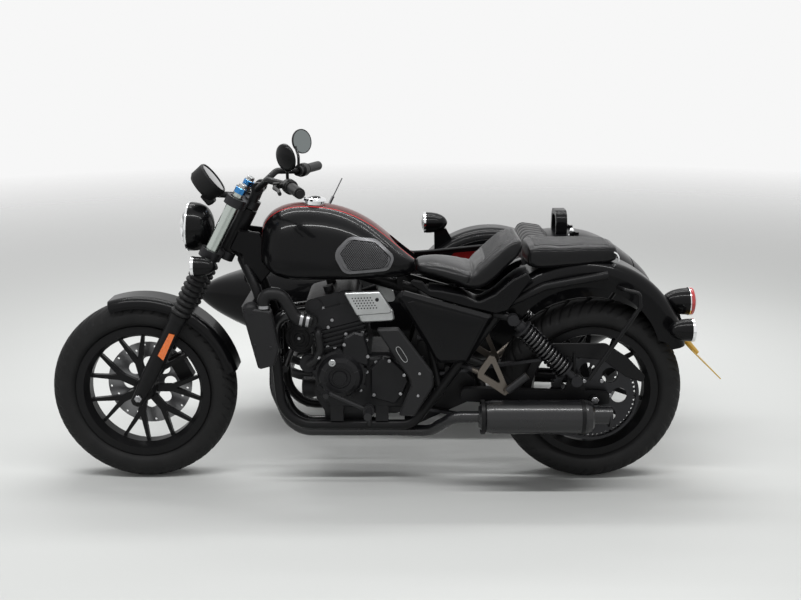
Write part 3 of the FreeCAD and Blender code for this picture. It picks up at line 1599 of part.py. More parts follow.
def side_panels():
    """Left and right body panels: the bevelled side cover and the long cover along the seat rail."""
    cover_outline = [(-678, 690, 14), (-652, 705, 8), (-352, 620, 10), (-434, 456, 16), (-537, 455, 16)]
    cover = bevelled_plate(cover_outline, -140, -163, 12)
    bosses = []
    for share in (0.74, 0.92):
        place = on_cradle(share, -1)
        bosses.append(rod(place, Vector(place.x - 34, -141, place.z), 9))
    rail_outline = [
        (-632, 742, 10),
        (-590, 735, 8),
        (-566, 706, 8),
        (-524, 702, 8),
        (-456, 688, 20),
        (-402, 662, 30),
        (-346, 690, 20),
        (-292, 738, 14),
        (-240, 764, 8),
        (-228, 742, 6),
        (-268, 684, 14),
        (-302, 636, 10),
        (-342, 624, 8),
        (-450, 650, 20),
        (-566, 684, 20),
        (-626, 722, 8),
    ]
    outer = RAIL_Y + mm.rail_radius
    rail_cover = bevelled_plate(rail_outline, -outer - mm.fit_gap, -outer - 12, 4)
    carried = node("frame").fuse(node("seat_rails"))
    cover = keep_side(fused([cover, *bosses]).cut(carried))
    rail_cover = keep_side(rail_cover.cut(carried).cut(scaled_cover(cover_outline)))
    return part("side_panels", Part.makeCompound([cover, rail_cover, mirrored(cover), mirrored(rail_cover)]))


def scaled_cover(outline):
    """The room that a side cover takes, with a gap round it."""
    return side_plate(inset_points(outline, -2), 10, -170, -138)


def neck_covers():
    """Bevelled plates either side of the head tube, ahead of the tank, clear of the turning fork."""
    outline = [
        (-1206, 893, 8),
        (-1136, 884, 10),
        (-1112, 840, 20),
        (-1090, 764, 10),
        (-1146, 696, 14),
        (-1192, 716, 14),
        (-1196, 808, 8),
        (-1240, 828, 8),
    ]
    neck = bevelled_plate(outline, -50, -62, 4)
    neck = neck.cut(cradle_tube(-1, mm.fit_gap)).cut(tank_skin(1.5)).cut(node("radiator_hose"))
    return part("neck_covers", pair(keep_side(neck)))


def engine_trim():
    """The bent black trim beside the engine and the silver covers over the throttle bodies."""
    boomerang = bevelled_plate(
        [
            (-744, 581, 6),
            (-668, 583, 12),
            (-554, 428, 30),
            (-550, 384, 20),
            (-614, 276, 6),
            (-668, 278, 6),
            (-626, 382, 14),
            (-634, 412, 14),
        ],
        -160,
        -186,
        6,
    )
    part("sprocket_trim", boomerang)
    inner = -mm.cylinder_half - 7 - mm.fit_gap
    upper_outline = [(-850, 698, 5), (-732, 702, 8), (-684, 630, 10), (-808, 620, 8)]
    lower_outline = [(-810, 630, 6), (-688, 640, 6), (-680, 600, 12), (-794, 594, 12)]
    upper = bevelled_plate(upper_outline, inner, inner - 25, 3)
    lower = bevelled_plate(lower_outline, inner, inner - 18, 5)
    boss = rod(Vector(-806, inner - 8, 642), Vector(-806, inner + 1, 642), 6)
    silver = fused([upper, lower, boss])
    return part("intake_covers", pair(silver))


def rear_fender():
    """The deep rear fender, an arched shell round its own centre, its tail corners rounded off."""
    centre = Vector(-mm.rear_fender_x, 0, mm.rear_fender_z)
    half = mm.rear_fender_width / 2
    section = arch_section(centre, mm.rear_fender_radius, half, mm.rear_fender_skirt, mm.fender_wall, 42)
    shell = arched(centre, section, 9.5, 145)
    corner = mm.rear_fender_radius - mm.rear_fender_skirt
    t = math.radians(9.5)
    tip = centre + Vector(math.cos(t), 0, math.sin(t)) * (corner - 8)
    bite = Part.makeCylinder(46, 2 * half + 2, Vector(tip.x, -half - 1, tip.z - 8), Vector(0, 1, 0))
    return part("rear_fender", keep_side(shell.cut(bite)))


def shock(side):
    """One shock absorber: eyes, rod, body, spring seats and a coil spring."""
    top = SHOCK_TOP + Vector(0, side * mm.shock_half, 0)
    foot = SHOCK_FOOT + Vector(0, side * mm.shock_half, 0)
    down = foot - top
    length = down.Length
    axis = Vector(down).normalize()
    body = stepped(
        top,
        axis,
        [
            (24, 12),
            (24, 20),
            (44, 20),
            (44, 35),
            (50, 35),
            (50, 17),
            (length - 60, 17),
            (length - 60, 35),
            (length - 54, 35),
            (length - 54, 14),
            (length - 24, 14),
        ],
    )
    eyes = []
    for end, lean in ((top, 1), (foot, -1)):
        eyes.append(rod(end - Vector(0, 15, 0), end + Vector(0, 15, 0), 19))
        eyes.append(rod(end, end + axis * (30 * lean), 13))
    coil_length = length - 60 - 50 - 2 * mm.coil_wire
    start = top + axis * (50 + mm.coil_wire)
    helix = Part.makeHelix(coil_length / mm.coil_turns, coil_length, mm.coil_radius)
    profile = Part.Wire(Part.makeCircle(mm.coil_wire, Vector(mm.coil_radius, 0, 0), Vector(0, 1, 0)))
    spring = Part.Wire(helix.Edges).makePipeShell([profile], True, True)
    spring.Placement = Placement(start, Rotation(Vector(0, 0, 1), axis))
    return fused([body, *eyes]), spring


def shocks():
    """Both shock absorbers, and their springs as a node of their own."""
    bodies = []
    springs = []
    for side in (-1, 1):
        body, spring = shock(side)
        bodies.append(body)
        springs.append(spring)
    part("rear_shocks", Part.makeCompound([keep_side(body.cut(node("seat_rails"))) for body in bodies]))
    return part("shock_springs", Part.makeCompound(springs))


def fender_stays():
    """Rods from the swingarm ends up to the rear fender, with a hooked top."""
    y = -mm.shock_half - 22
    stay = bent_tube(
        [
            Vector(-30, y, 400),
            Vector(132, y, 652),
            Vector(128, y, 700),
            Vector(84, y + 24, 706),
            Vector(70, -mm.rear_fender_width / 2 - 1, 706),
        ],
        7,
        [16, 14, 8],
    )
    return part("fender_stays", pair(keep_side(stay.cut(node("rear_fender")))))


def rear_lamps():
    """The tail lamp and the two rear indicators on one bracket behind the fender."""
    tail = bullet(Vector(294, 0, 632), Vector(1, 0, 0.02).normalize(), mm.tail_radius, 2.2 * mm.tail_radius)
    neck = rod(Vector(262, 0, 600), Vector(296, 0, 626), 12)
    pieces = [tail, neck]
    r = mm.rear_signal_radius
    reach = mm.rear_fender_width / 2 + 6 + r
    for side in (-1, 1):
        place = Vector(276, side * reach, 570)
        pieces.append(bullet(place, Vector(1, 0, 0), r, 2.1 * r))
        knee = Vector(322, side * (reach - 30), 556)
        pieces.append(rod(place + Vector(10, 0, 0), knee, 8))
        pieces.append(rod(knee, Vector(322, 0, 552), 8))
    pieces.append(side_plate([(262, 612, 6), (300, 608, 6), (336, 500, 6), (312, 500, 6)], 6, -16, 16))
    return part("rear_lamps", keep_side(fused(pieces).cut(fender_room(0))))


def plate_holder():
    """A blank number plate on its bracket."""
    plate = block(-2, 2, -110, 110, -70, 75)
    plate.Placement = Placement(Vector(384, 0, 434), Rotation(Vector(0, 1, 0), -46))
    arm = rod(Vector(322, 0, 512), Vector(378, 0, 446), 9)
    return part("plate_holder", fused([plate, arm]).cut(node("rear_lamps")))


def foot_pegs():
    """Rider's pegs with their pedals, and the pillion hangers with folded pegs, one set on each side."""
    x = -769
    foot = Vector(x, mm.cradle_half + 6, mm.cradle_height + 2)
    knee = Vector(x, 190, 300)
    tip = Vector(x, 308, 318)
    toe = Vector(-908, 204, 368)
    pedal = [
        rod(foot, knee, 9),
        rod(knee, tip, 13),
        rod(knee - Vector(0, 12, 0), knee + Vector(0, 22, 4), 19),
        rod(knee + Vector(0, 6, 0), toe, 6.5),
        rod(toe - Vector(0, 6, 0), toe + Vector(0, 56, 4), 9),
    ]
    y = mm.cradle_half + 72
    low = Vector(-309, y, 372)
    front = Vector(-394, y, 424)
    hanger_outline = [
        (-366, 492, 5),
        (-348, 488, 5),
        (-298, 372, 6),
        (-308, 350, 6),
        (-404, 416, 6),
        (-402, 438, 6),
    ]
    window_outline = [(-358, 468, 3), (-322, 388, 5), (-384, 427, 4)]
    hanger = side_plate(hanger_outline, 6, y - 6, y + 6).cut(side_plate(window_outline, 5, y - 6, y + 6))
    arm = rod(on_cradle(0.55, 1), front + Vector(4, 0, 4), 9)
    peg = rod(Vector(-304, y + 20, 374), Vector(-240, y + 24, 428), 13)
    lug = rod(low, Vector(-304, y + 20, 374), 10)
    hang = fused([hanger, arm, peg, lug])
    taken = node("frame").fuse(node("side_panels"))
    pedals = keep_side(fused(pedal).cut(taken))
    hang = keep_side(hang.cut(taken))
    left_hang = keep_side(mirrored(hang).cut(node("muffler")).cut(node("exhaust_pipes")))
    pieces = [pedals, mirrored(pedals), hang, left_hang]
    return part("foot_pegs", Part.makeCompound(pieces))


def drive_chain():
    """The chain: a loop of link plates round the rear sprocket's teeth and the hidden front sprocket."""
    back = REAR_AXLE.x
    front = -mm.engine_back - 60
    big = mm.sprocket_radius + 1
    small = 38
    tall = 11
    lean = math.asin((big - small) / (back - front))

    def loop(grow):
        r0 = small + grow
        r1 = big + grow
        up = Vector(math.sin(-lean), 0, math.cos(lean))
        down = Vector(math.sin(-lean), 0, -math.cos(lean))
        f = Vector(front, 0, REAR_AXLE.z + 14)
        b = Vector(back, 0, REAR_AXLE.z)
        edges = [
            Part.makeLine(f + up * r0, b + up * r1),
            Part.Arc(b + up * r1, b + Vector(r1, 0, 0), b + down * r1).toShape(),
            Part.makeLine(b + down * r1, f + down * r0),
            Part.Arc(f + down * r0, f - Vector(r0, 0, 0), f + up * r0).toShape(),
        ]
        return Part.Wire(edges)

    y = -mm.chain_offset
    outer = Part.Face(loop(tall))
    inner = Part.Face(loop(0))

    def band(low, high):
        shape = outer.extrude(Vector(0, high - low, 0)).cut(inner.extrude(Vector(0, high - low, 0)))
        shape.translate(Vector(0, low, 0))
        return shape

    grooved = band(y - mm.chain_width / 2, y + mm.chain_width / 2)
    groove = Part.Face(loop(tall + 1)).extrude(Vector(0, 2, 0)).cut(
        Part.Face(loop(tall - 3)).extrude(Vector(0, 2, 0))
    )
    for offset in (-4.5, 2.5):
        cut = groove.copy()
        cut.translate(Vector(0, y + offset, 0))
        grooved = grooved.cut(cut)
    chain = grooved
    clutter = node("engine_case").fuse(node("engine_covers")).fuse(node("frame"))
    return part("drive_chain", keep_side(chain.cut(clutter)))


def chain_guard():
    """A flat guard over the chain's upper run, beside the sprocket."""
    outline = [
        (-150, 512, 10),
        (36, 512, 30),
        (112, 462, 20),
        (176, 396, 8),
        (168, 372, 8),
        (110, 392, 14),
        (30, 452, 40),
        (-150, 470, 10),
    ]
    guard = bevelled_plate(outline, -104, -109, 2)
    arm = rod(Vector(-70, -mm.arm_half - 12, 338), Vector(-70, -107, 480), 6)
    return part("chain_guard", keep_side(fused([guard, arm]).cut(node("swingarm"))))


# Sidecar

# Places along the sidecar body, as shares of its length from the nose.
NOSE_SEAM = 0.42
COCKPIT_FRONT = 0.434
COCKPIT_BACK = 0.766
BULKHEAD = 0.779
HOOP_AT = 0.812
LID_FRONT = 0.828
LID_BACK = 0.955
RAIL_FRONT = 0.2
RAIL_BACK = 0.844
POST_FRONT = 0.265
POST_BACK = 0.79

# Places across the sidecar body, as shares of its half width.
RAIL_ACROSS = 0.7
LID_ACROSS = 0.54
HINGE_ACROSS = 0.29

# Share of the length from the nose, then shares of the half width, top height and underside height.
TUB_STATIONS = (
    (0.0, 0.05, 512, 488),
    (0.02, 0.16, 545, 455),
    (0.08, 0.38, 590, 392),
    (0.20, 0.70, 656, 310),
    (0.36, 0.94, 692, 262),
    (0.52, 1.00, 704, 245),
    (0.70, 1.00, 740, 245),
    (0.82, 0.94, 764, 268),
    (0.90, 0.80, 728, 322),
    (0.955, 0.60, 662, 400),
    (0.985, 0.40, 612, 452),
    (1.0, 0.22, 575, 490),
)


def tub_x(share):
    """X at a share of the sidecar body's length from its nose."""
    return -mm.tub_front + share * mm.tub_length


def tub_loft(inset):
    """The sidecar body's outer form, drawn in by an inset on every side."""
    rings = []
    for share, wide, top, low in TUB_STATIONS:
        half = TUB_HALF * wide - inset
        if half < 12 or top - low < 2.5 * inset + 20:
            continue
        middle = (top + low) / 2 + (top - low) * 0.05
        rings.append(
            oval(tub_x(share), TUB_CENTRE, middle, half, top - inset - middle, middle - low - inset, 2.7, 2.7)
        )
    return Part.makeLoft(rings, True, False)


def sidecar_body():
    """The sidecar's nose, its tub with the open cockpit and bulkhead, the tail, and the boot lid."""
    y = TUB_CENTRE
    wall = mm.tub_wall
    outer = tub_loft(0)
    inner = tub_loft(wall)
    shell = outer.cut(inner)
    bulk_x = tub_x(BULKHEAD)
    bulkhead = block(bulk_x - wall, bulk_x, y - TUB_HALF, y + TUB_HALF, 0, 1000).common(inner)
    side = TUB_HALF - 38
    opening = rounded_column(tub_x(COCKPIT_FRONT), tub_x(COCKPIT_BACK), y - side, y + side, 560, 1000, 90)
    seam_x = tub_x(NOSE_SEAM)
    ahead = tub_x(0) - 10
    behind = tub_x(1) + 10

    def room(x0, x1):
        return block(x0, x1, y - TUB_HALF - 10, y + TUB_HALF + 10, 0, 1200)

    part("sidecar_nose", keep_side(shell.cut(room(seam_x, behind))))
    middle = shell.cut(room(ahead, seam_x + mm.fit_gap)).cut(room(bulk_x, behind))
    part("sidecar_tub", keep_side(fused([middle, bulkhead]).cut(opening)))
    half = TUB_HALF * LID_ACROSS
    front = tub_x(LID_FRONT)
    back = tub_x(LID_BACK)
    gap = mm.lid_gap
    lid_column = rounded_column(front, back, y - half, y + half, 480, 1000, 36)
    lid_hole = rounded_column(front - gap, back + gap, y - half - gap, y + half + gap, 480, 1000, 36 + gap)
    lid = keep_side(shell.common(lid_column))
    tail = keep_side(shell.cut(room(ahead, bulk_x + mm.fit_gap)).cut(lid_hole))
    pin_x, pin_z = lid_pin(outer)
    pins = []
    leaves = []
    for hinge_y in (y - TUB_HALF * HINGE_ACROSS, y + TUB_HALF * HINGE_ACROSS):
        fixed = [Vector(pin_x, hinge_y - 18, pin_z), Vector(pin_x, hinge_y - mm.fit_gap, pin_z)]
        loose = [Vector(pin_x, hinge_y + mm.fit_gap, pin_z), Vector(pin_x, hinge_y + 18, pin_z)]
        pins.append(rod(fixed[0], fixed[1], 5))
        pins.append(rod(fixed[0], loose[1], mm.lid_pin))
        pins.append(block(pin_x - 20, pin_x, fixed[0].y, fixed[1].y, pin_z - 14, pin_z - 1))
        leaf = block(pin_x, pin_x + 20, loose[0].y, loose[1].y, pin_z - 14, pin_z - 1)
        bore = rod(fixed[0], loose[1] + Vector(0, 1, 0), mm.lid_pin + mm.running_gap)
        leaves.append(fused([rod(loose[0], loose[1], 5), leaf]).cut(bore))
    part("sidecar_tail", keep_side(fused([tail, *pins])))
    part("boot_lid", keep_side(fused([lid, *leaves])))


def lid_pin(outer):
    """X and Z of the boot lid's hinge pin, just above the body's crest at the lid's front edge."""
    x = tub_x(LID_FRONT) - mm.lid_gap / 2
    y = TUB_CENTRE
    needle = block(x - 1, x + 1, y - 1, y + 1, 500, 1200).common(outer)
    crest = max(vertex.Z for vertex in needle.Vertexes)
    return x, crest + 6


def rounded_column(x0, x1, y0, y1, z0, z1, radius):
    """An upright column with a rounded rectangular plan."""
    plan = rounded_outline([(x0, y0), (x1, y0), (x1, y1), (x0, y1)], radius)
    plan.rotate(Vector(0, 0, 0), Vector(1, 0, 0), -90)
    plan.translate(Vector(0, 0, z0))
    return Part.Face(plan).extrude(Vector(0, 0, z1 - z0))


def sidecar_seat():
    """The passenger's cushion and backrest."""
    y = TUB_CENTRE
    x = tub_x(COCKPIT_BACK) - 90
    half = TUB_HALF * 0.74
    room = tub_loft(mm.tub_wall + mm.fit_gap)
    cushion = block(x - 396, x - 62, y - TUB_HALF, y + TUB_HALF, 200, 392).common(room)
    low_back = block(x - 62, x + 64, y - TUB_HALF, y + TUB_HALF, 200, 392).common(room)
    back = block(-60, 60, -half, half, 0, 396)
    back = back.makeFillet(34, back.Edges)
    back.Placement = Placement(Vector(x, y, 374), Rotation(Vector(0, 1, 0), 8))
    joint = block(x - 58, x + 46, y - half * 0.7, y + half * 0.7, 370, 440)
    back = keep_side(fused([back, joint, low_back]).cut(node("sidecar_tub")))
    return part("sidecar_seat", Part.makeCompound([cushion, back]))


def sidecar_chassis():
    """The sidecar's tubular chassis, its axle, and four struts to the motorcycle's frame."""
    z = mm.chassis_height
    r = mm.chassis_tube
    near = TUB_CENTRE - TUB_HALF * RAIL_ACROSS
    far = TUB_CENTRE + TUB_HALF * RAIL_ACROSS
    front = tub_x(RAIL_FRONT)
    back = tub_x(RAIL_BACK)
    seam = near + 80
    ring = [
        Vector(back, seam, z),
        Vector(back, near, z),
        Vector(front, near, z),
        Vector(front, far, z),
        Vector(back, far, z),
        Vector(back, seam, z),
    ]
    loop = [bent_tube(ring, r, [70, 130, 130, 90])]
    axle_z = SIDE_AXLE.z
    loop.append(rod(Vector(SIDE_AXLE.x, near, z), Vector(SIDE_AXLE.x, far, z), r))
    carrier = mm.side_track - 100
    path = [
        Vector(SIDE_AXLE.x, far - 10, z),
        Vector(SIDE_AXLE.x, carrier - 20, z),
        Vector(SIDE_AXLE.x, carrier, axle_z),
    ]
    loop.append(bent_tube(path, r - 3, min(50, (carrier - far) * 0.5)))
    hub_face = (mm.side_width - mm.rim_margin) / 2 - 14
    loop.append(rod(Vector(SIDE_AXLE.x, carrier - 20, axle_z), SIDE_AXLE + Vector(0, 62, 0), mm.axle_radius))
    loop.append(rod(Vector(SIDE_AXLE.x, carrier - 20, axle_z), SIDE_AXLE - Vector(0, hub_face + 1, 0), 22))
    tub = tub_loft(0)
    for share in (POST_FRONT, POST_BACK):
        for y in (near, far):
            x = tub_x(share)
            post = rod(Vector(x, y, z), Vector(x, y, z + 200), mm.post_radius)
            loop.append(keep_side(post.cut(tub)))
    rear_mount = on_cradle(0.49, 1)
    downtube = frame_path(1)
    struts = [
        (tub_x(0.265), Vector(-1000, mm.cradle_half, mm.cradle_height)),
        (tub_x(0.46), Vector(-720, mm.cradle_half, mm.cradle_height)),
        (tub_x(0.32), downtube[2] + (downtube[3] - downtube[2]) * 0.36),
        (tub_x(0.702), rear_mount),
    ]
    for x, end in struts:
        loop.append(rod(Vector(x, near, z), end, mm.strut_radius))
    return part("sidecar_chassis", keep_side(fused(loop).cut(node("frame")).cut(node("foot_pegs"))))


def sidecar_fender():
    """The sidecar wheel's fender with a pressed rib and a rolled edge, on its stays."""
    half = mm.side_fender_width / 2
    centre = SIDE_AXLE
    crest = mm.side_fender_radius
    section = arch_section(centre, crest, half, mm.side_fender_skirt, mm.fender_wall, 48)
    shell = arched(centre, section, -4, 184)
    pieces = [shell]
    for side in (-1, 1):
        for drop, radius in ((mm.side_fender_skirt - 3, 4.5), (mm.side_fender_skirt * 0.62, 3.5)):
            place = centre + Vector(crest - drop, side * (half - 1), 0)
            ring = Part.Face(Part.Wire(Part.makeCircle(radius, place, Vector(0, 0, 1))))
            pieces.append(arched(centre, ring, -4, 184))
    far = TUB_CENTRE + TUB_HALF * RAIL_ACROSS
    for angle in (40, 140):
        t = math.radians(angle)
        reach = crest - mm.side_fender_skirt * 0.7
        a = centre + Vector(math.cos(t) * reach, -half, math.sin(t) * reach)
        pieces.append(rod(a, Vector(a.x, far, mm.chassis_height), 8))
    return part("sidecar_fender", keep_side(fused(pieces).cut(node("sidecar_chassis"))))


def sidecar_lamps():
    """The round marker lamp on a tapered foot at the front of the sidecar's fender."""
    y = mm.side_track - 50
    x = SIDE_AXLE.x - 245
    r = mm.marker_radius
    z = SIDE_AXLE.z + mm.side_fender_radius + 23
    lamp = bullet(Vector(x, y, z), Vector(-1, 0, 0), r, 2.2 * r)
    foot_outline = [
        (x - 8, z - r + 12, 5),
        (x + 44, z - r + 22, 5),
        (x + 72, z - 74, 5),
        (x + 60, z - 130, 5),
        (x - 6, z - 130, 5),
    ]
    foot = side_plate(foot_outline, 5, y - 11, y + 11)
    return part(
        "sidecar_lamps",
        keep_side(fused([lamp, foot]).cut(node("sidecar_fender")).cut(node("side_tyre"))),
    )


def grab_hoop():
    """A flat hoop of square bar behind the passenger's seat."""
    y = TUB_CENTRE
    loop = rounded_outline([(-78, 0), (78, 0), (72, 122), (-72, 122)], 46)
    hole = rounded_outline([(-57, 20), (57, 20), (52, 102), (-52, 102)], 30)
    ring = Part.Face(loop).extrude(Vector(0, 44, 0)).cut(Part.Face(hole).extrude(Vector(0, 44, 0)))
    ring.Placement = Placement(Vector(tub_x(HOOP_AT), y, 728), Rotation(Vector(0, 0, 1), 90))
    return part("grab_hoop", keep_side(ring.cut(node("sidecar_tail"))))


def marker_rod():
    """A thin width marker with its sleeve, on the sidecar's cowl."""
    y = TUB_CENTRE - 40
    foot = Vector(tub_x(0.23), y, 640)
    lean = Vector(0.45, 0, 0.9).normalize()
    whip = fused(
        [
            rod(foot, foot + lean * 90, 7),
            rod(foot, foot + lean * 380, 2.5),
            rod(foot + lean * 236, foot + lean * 300, 6),
        ]
    )
    return part("marker_rod", keep_side(whip.cut(tub_loft(0))))


def build():
    """Makes every sub-part, those that others are cut to before the others."""
    tyre("front_tyre", FRONT_AXLE, mm.front_radius, mm.front_width)
    tyre("rear_tyre", REAR_AXLE, mm.rear_radius, mm.rear_width)
    tyre("side_tyre", SIDE_AXLE, mm.side_radius, mm.side_width)
    wheel("front_wheel", FRONT_AXLE, cell.front_width)
    wheel("rear_wheel", REAR_AXLE, cell.rear_width)
    wheel("side_wheel", SIDE_AXLE, cell.side_width)
    for make in (
        brake_discs,
        rear_sprocket,
        yokes,
        fork_tubes,
        fork_gaiters,
        fork_sliders,
        handlebar,
        grips,
        hand_controls,
        mirrors,
        headlamp,
        dash_pod,
        front_fender,
        front_signals,
        frame,
        seat_rails,
        swingarm,
        engine_case,
        engine_covers,
        engine_top,
        radiator,
        exhaust,
        tank,
        seats,
        side_panels,
        neck_covers,
        engine_trim,
        rear_fender,
        shocks,
        fender_stays,
        rear_lamps,
        plate_holder,
        foot_pegs,
        drive_chain,
        chain_guard,
        sidecar_chassis,
        sidecar_body,
        sidecar_seat,
        sidecar_fender,
        sidecar_lamps,
        grab_hoop,
        marker_rod,
    ):
        make()
    doc.recompute()


def check():
    """Stops if an object failed or a sub-part has no sound solid."""
    for obj in doc.Objects:
        if "Invalid" in obj.State or "Error" in obj.State:
            raise RuntimeError(f"{obj.Label} failed: {obj.State}")
    for obj in SUB_PARTS:
        shape = obj.Shape
        if shape.isNull() or not shape.isValid() or not shape.Solids:
            raise RuntimeError(f"{obj.Label} has no valid solid")


def export():
    """Writes each sub-part to its own STEP file."""
    os.makedirs("parts", exist_ok=True)
    for obj in SUB_PARTS:
        obj.Shape.exportStep(f"parts/{obj.Label}.step")
        print(f"{obj.Label:18s} solids {len(obj.Shape.Solids)} volume {obj.Shape.Volume / 1e3:10.1f} cm3")


build()
check()
export()
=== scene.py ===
# %% [markdown]
# # A sidecar motorcycle, dressed over its construction frame
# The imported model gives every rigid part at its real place. This script gives each surface its
# finish, and adds the pieces that a frame of plain solids leaves out: tyre tread, upholstery,
# bolts, lenses, grilles and trim. Lengths are in metres, with +X to the rear, +Y to the rider's
# right and +Z up.

import math

import bmesh
import bpy
import numpy as np
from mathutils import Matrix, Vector
from mathutils.bvhtree import BVHTree


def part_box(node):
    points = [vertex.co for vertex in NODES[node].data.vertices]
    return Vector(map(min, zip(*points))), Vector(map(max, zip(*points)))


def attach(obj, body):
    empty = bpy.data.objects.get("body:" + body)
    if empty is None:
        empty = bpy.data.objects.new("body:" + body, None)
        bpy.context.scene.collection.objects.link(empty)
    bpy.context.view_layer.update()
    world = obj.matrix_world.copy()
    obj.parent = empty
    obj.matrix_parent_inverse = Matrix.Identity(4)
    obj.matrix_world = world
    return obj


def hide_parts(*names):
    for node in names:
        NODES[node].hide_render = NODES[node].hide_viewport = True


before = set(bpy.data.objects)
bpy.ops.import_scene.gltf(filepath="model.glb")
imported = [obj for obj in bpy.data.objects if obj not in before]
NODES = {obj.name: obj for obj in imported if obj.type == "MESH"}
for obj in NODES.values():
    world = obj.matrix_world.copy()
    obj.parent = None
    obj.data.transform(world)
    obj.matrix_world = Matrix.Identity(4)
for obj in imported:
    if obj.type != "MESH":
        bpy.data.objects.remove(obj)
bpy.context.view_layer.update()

# %% [markdown]
# ## Camera and stage
# The photograph was taken from the left, a little ahead of the middle and from eye height. Its
# wall lines meet on a horizon far above the picture's middle, so the camera is pitched down.
# Working back from those lines gives the place, the pitch and the focal length below.

# %% Camera
CAMERA_PLACE = (-0.662, -3.661, 1.520)
CAMERA_PITCH = math.radians(13.56)
LENS_MM = 48.8
SENSOR_MM = 36.0

scene = bpy.context.scene
camera_data = bpy.data.cameras.new("camera")
camera_data.lens = LENS_MM
camera_data.sensor_width = SENSOR_MM
camera = bpy.data.objects.new("camera", camera_data)
camera.location = CAMERA_PLACE
camera.rotation_euler = (math.pi / 2 - CAMERA_PITCH, 0.0, 0.0)
scene.collection.objects.link(camera)
scene.camera = camera
scene.view_settings.view_transform = "Standard"

# %% [markdown]
# ## Small helpers for materials
# Every finish here is one Principled shader with a few texture nodes in front of it. A helper
# keeps the node trees short: it makes the shader, and returns an object that can add noise,
# bumps and ramps in one line each.


# %% A material recipe
class Finish:
    """A Principled material, with short ways to add texture nodes on Object coordinates."""

    def __init__(self, name, color, rough, metal=0.0, coat=0.0, coat_rough=0.04, specular=0.5):
        self.material = bpy.data.materials.new(name)
        self.material.use_nodes = True
        tree = self.material.node_tree
        self.nodes = tree.nodes
        self.links = tree.links
        self.shader = next(n for n in self.nodes if n.type == "BSDF_PRINCIPLED")
        self.set("Base Color", (*color, 1.0))
        self.set("Roughness", rough)
        self.set("Metallic", metal)
        self.set("Coat Weight", coat)
        self.set("Coat Roughness", coat_rough)
        self.set("Specular IOR Level", specular)
        self.material.diffuse_color = (*color, 1.0)

    def set(self, socket, value):
        self.shader.inputs[socket].default_value = value

    def node(self, kind, **settings):
        made = self.nodes.new(kind)
        for name, value in settings.items():
            setattr(made, name, value)
        return made

    def feed(self, value, socket):
        """Links an output to a socket, or sets a number or a colour on it."""
        if isinstance(value, bpy.types.NodeSocket):
            self.links.new(value, socket)
        else:
            socket.default_value = (*value, 1.0) if isinstance(value, tuple) else value

    def math(self, operation, *values):
        """One step of arithmetic on outputs or plain numbers."""
        made = self.node("ShaderNodeMath", operation=operation)
        for value, socket in zip(values, made.inputs):
            self.feed(value, socket)
        return made.outputs[0]

    def place(self, stretch=(1.0, 1.0, 1.0)):
        """Object coordinates, stretched by a Mapping node."""
        mapping = self.node("ShaderNodeMapping")
        mapping.inputs["Scale"].default_value = stretch
        self.feed(self.node("ShaderNodeTexCoord").outputs["Object"], mapping.inputs["Vector"])
        return mapping.outputs["Vector"]

    def axes(self):
        """Object coordinates as outputs named X, Y and Z."""
        made = self.node("ShaderNodeSeparateXYZ")
        self.feed(self.place(), made.inputs[0])
        return made.outputs

    def noise(self, scale, detail=3.0, stretch=(1.0, 1.0, 1.0)):
        """Soft random blotches, scale of them to the metre."""
        made = self.node("ShaderNodeTexNoise")
        made.inputs["Scale"].default_value = scale
        made.inputs["Detail"].default_value = detail
        self.feed(self.place(stretch), made.inputs["Vector"])
        return made.outputs["Fac"]

    def cells(self, scale, feature="F1"):
        """Distance to the nearest of scattered points: leather grain and lens facets."""
        made = self.node("ShaderNodeTexVoronoi", feature=feature)
        made.inputs["Scale"].default_value = scale
        self.feed(self.place(), made.inputs["Vector"])
        return made.outputs["Distance"]

    def span(self, fac, low, high, start=0.0, end=1.0):
        """Maps a texture's range start..end to low..high."""
        made = self.node("ShaderNodeMapRange")
        for value, socket in zip((fac, start, end, low, high), made.inputs):
            self.feed(value, socket)
        return made.outputs["Result"]

    def blend(self, fac, first, second):
        """Mixes two colours by a texture. The mix node's colours are its inputs 6 and 7."""
        made = self.node("ShaderNodeMix", data_type="RGBA")
        for value, k in ((fac, 0), (first, 6), (second, 7)):
            self.feed(value, made.inputs[k])
        return made.outputs[2]

    def paint(self, socket, output):
        self.feed(output, self.shader.inputs[socket])

    def emboss(self, height, strength, distance):
        """Adds the material's one bump."""
        made = self.node("ShaderNodeBump")
        made.inputs["Strength"].default_value = strength
        made.inputs["Distance"].default_value = distance
        self.feed(height, made.inputs["Height"])
        self.feed(made.outputs["Normal"], self.shader.inputs["Normal"])


# %% [markdown]
# ## Floor, backdrop and light
# A pale floor and world stand in for the garage. The camera and the reflections see a nearly
# white surround, but the world lights the object only at a plain level, by asking which kind
# of ray it is. Three long strips overhead stand for the ceiling tubes, whose reflections draw
# the tank and fenders. The floor fades out with distance, so no hard horizon shows behind the
# wheels.

# %% Floor
FLOOR_SIZE = 40.0
FLOOR_COLOR = (0.58, 0.59, 0.58)
FLOOR_FADES = (3.2, 10.0)

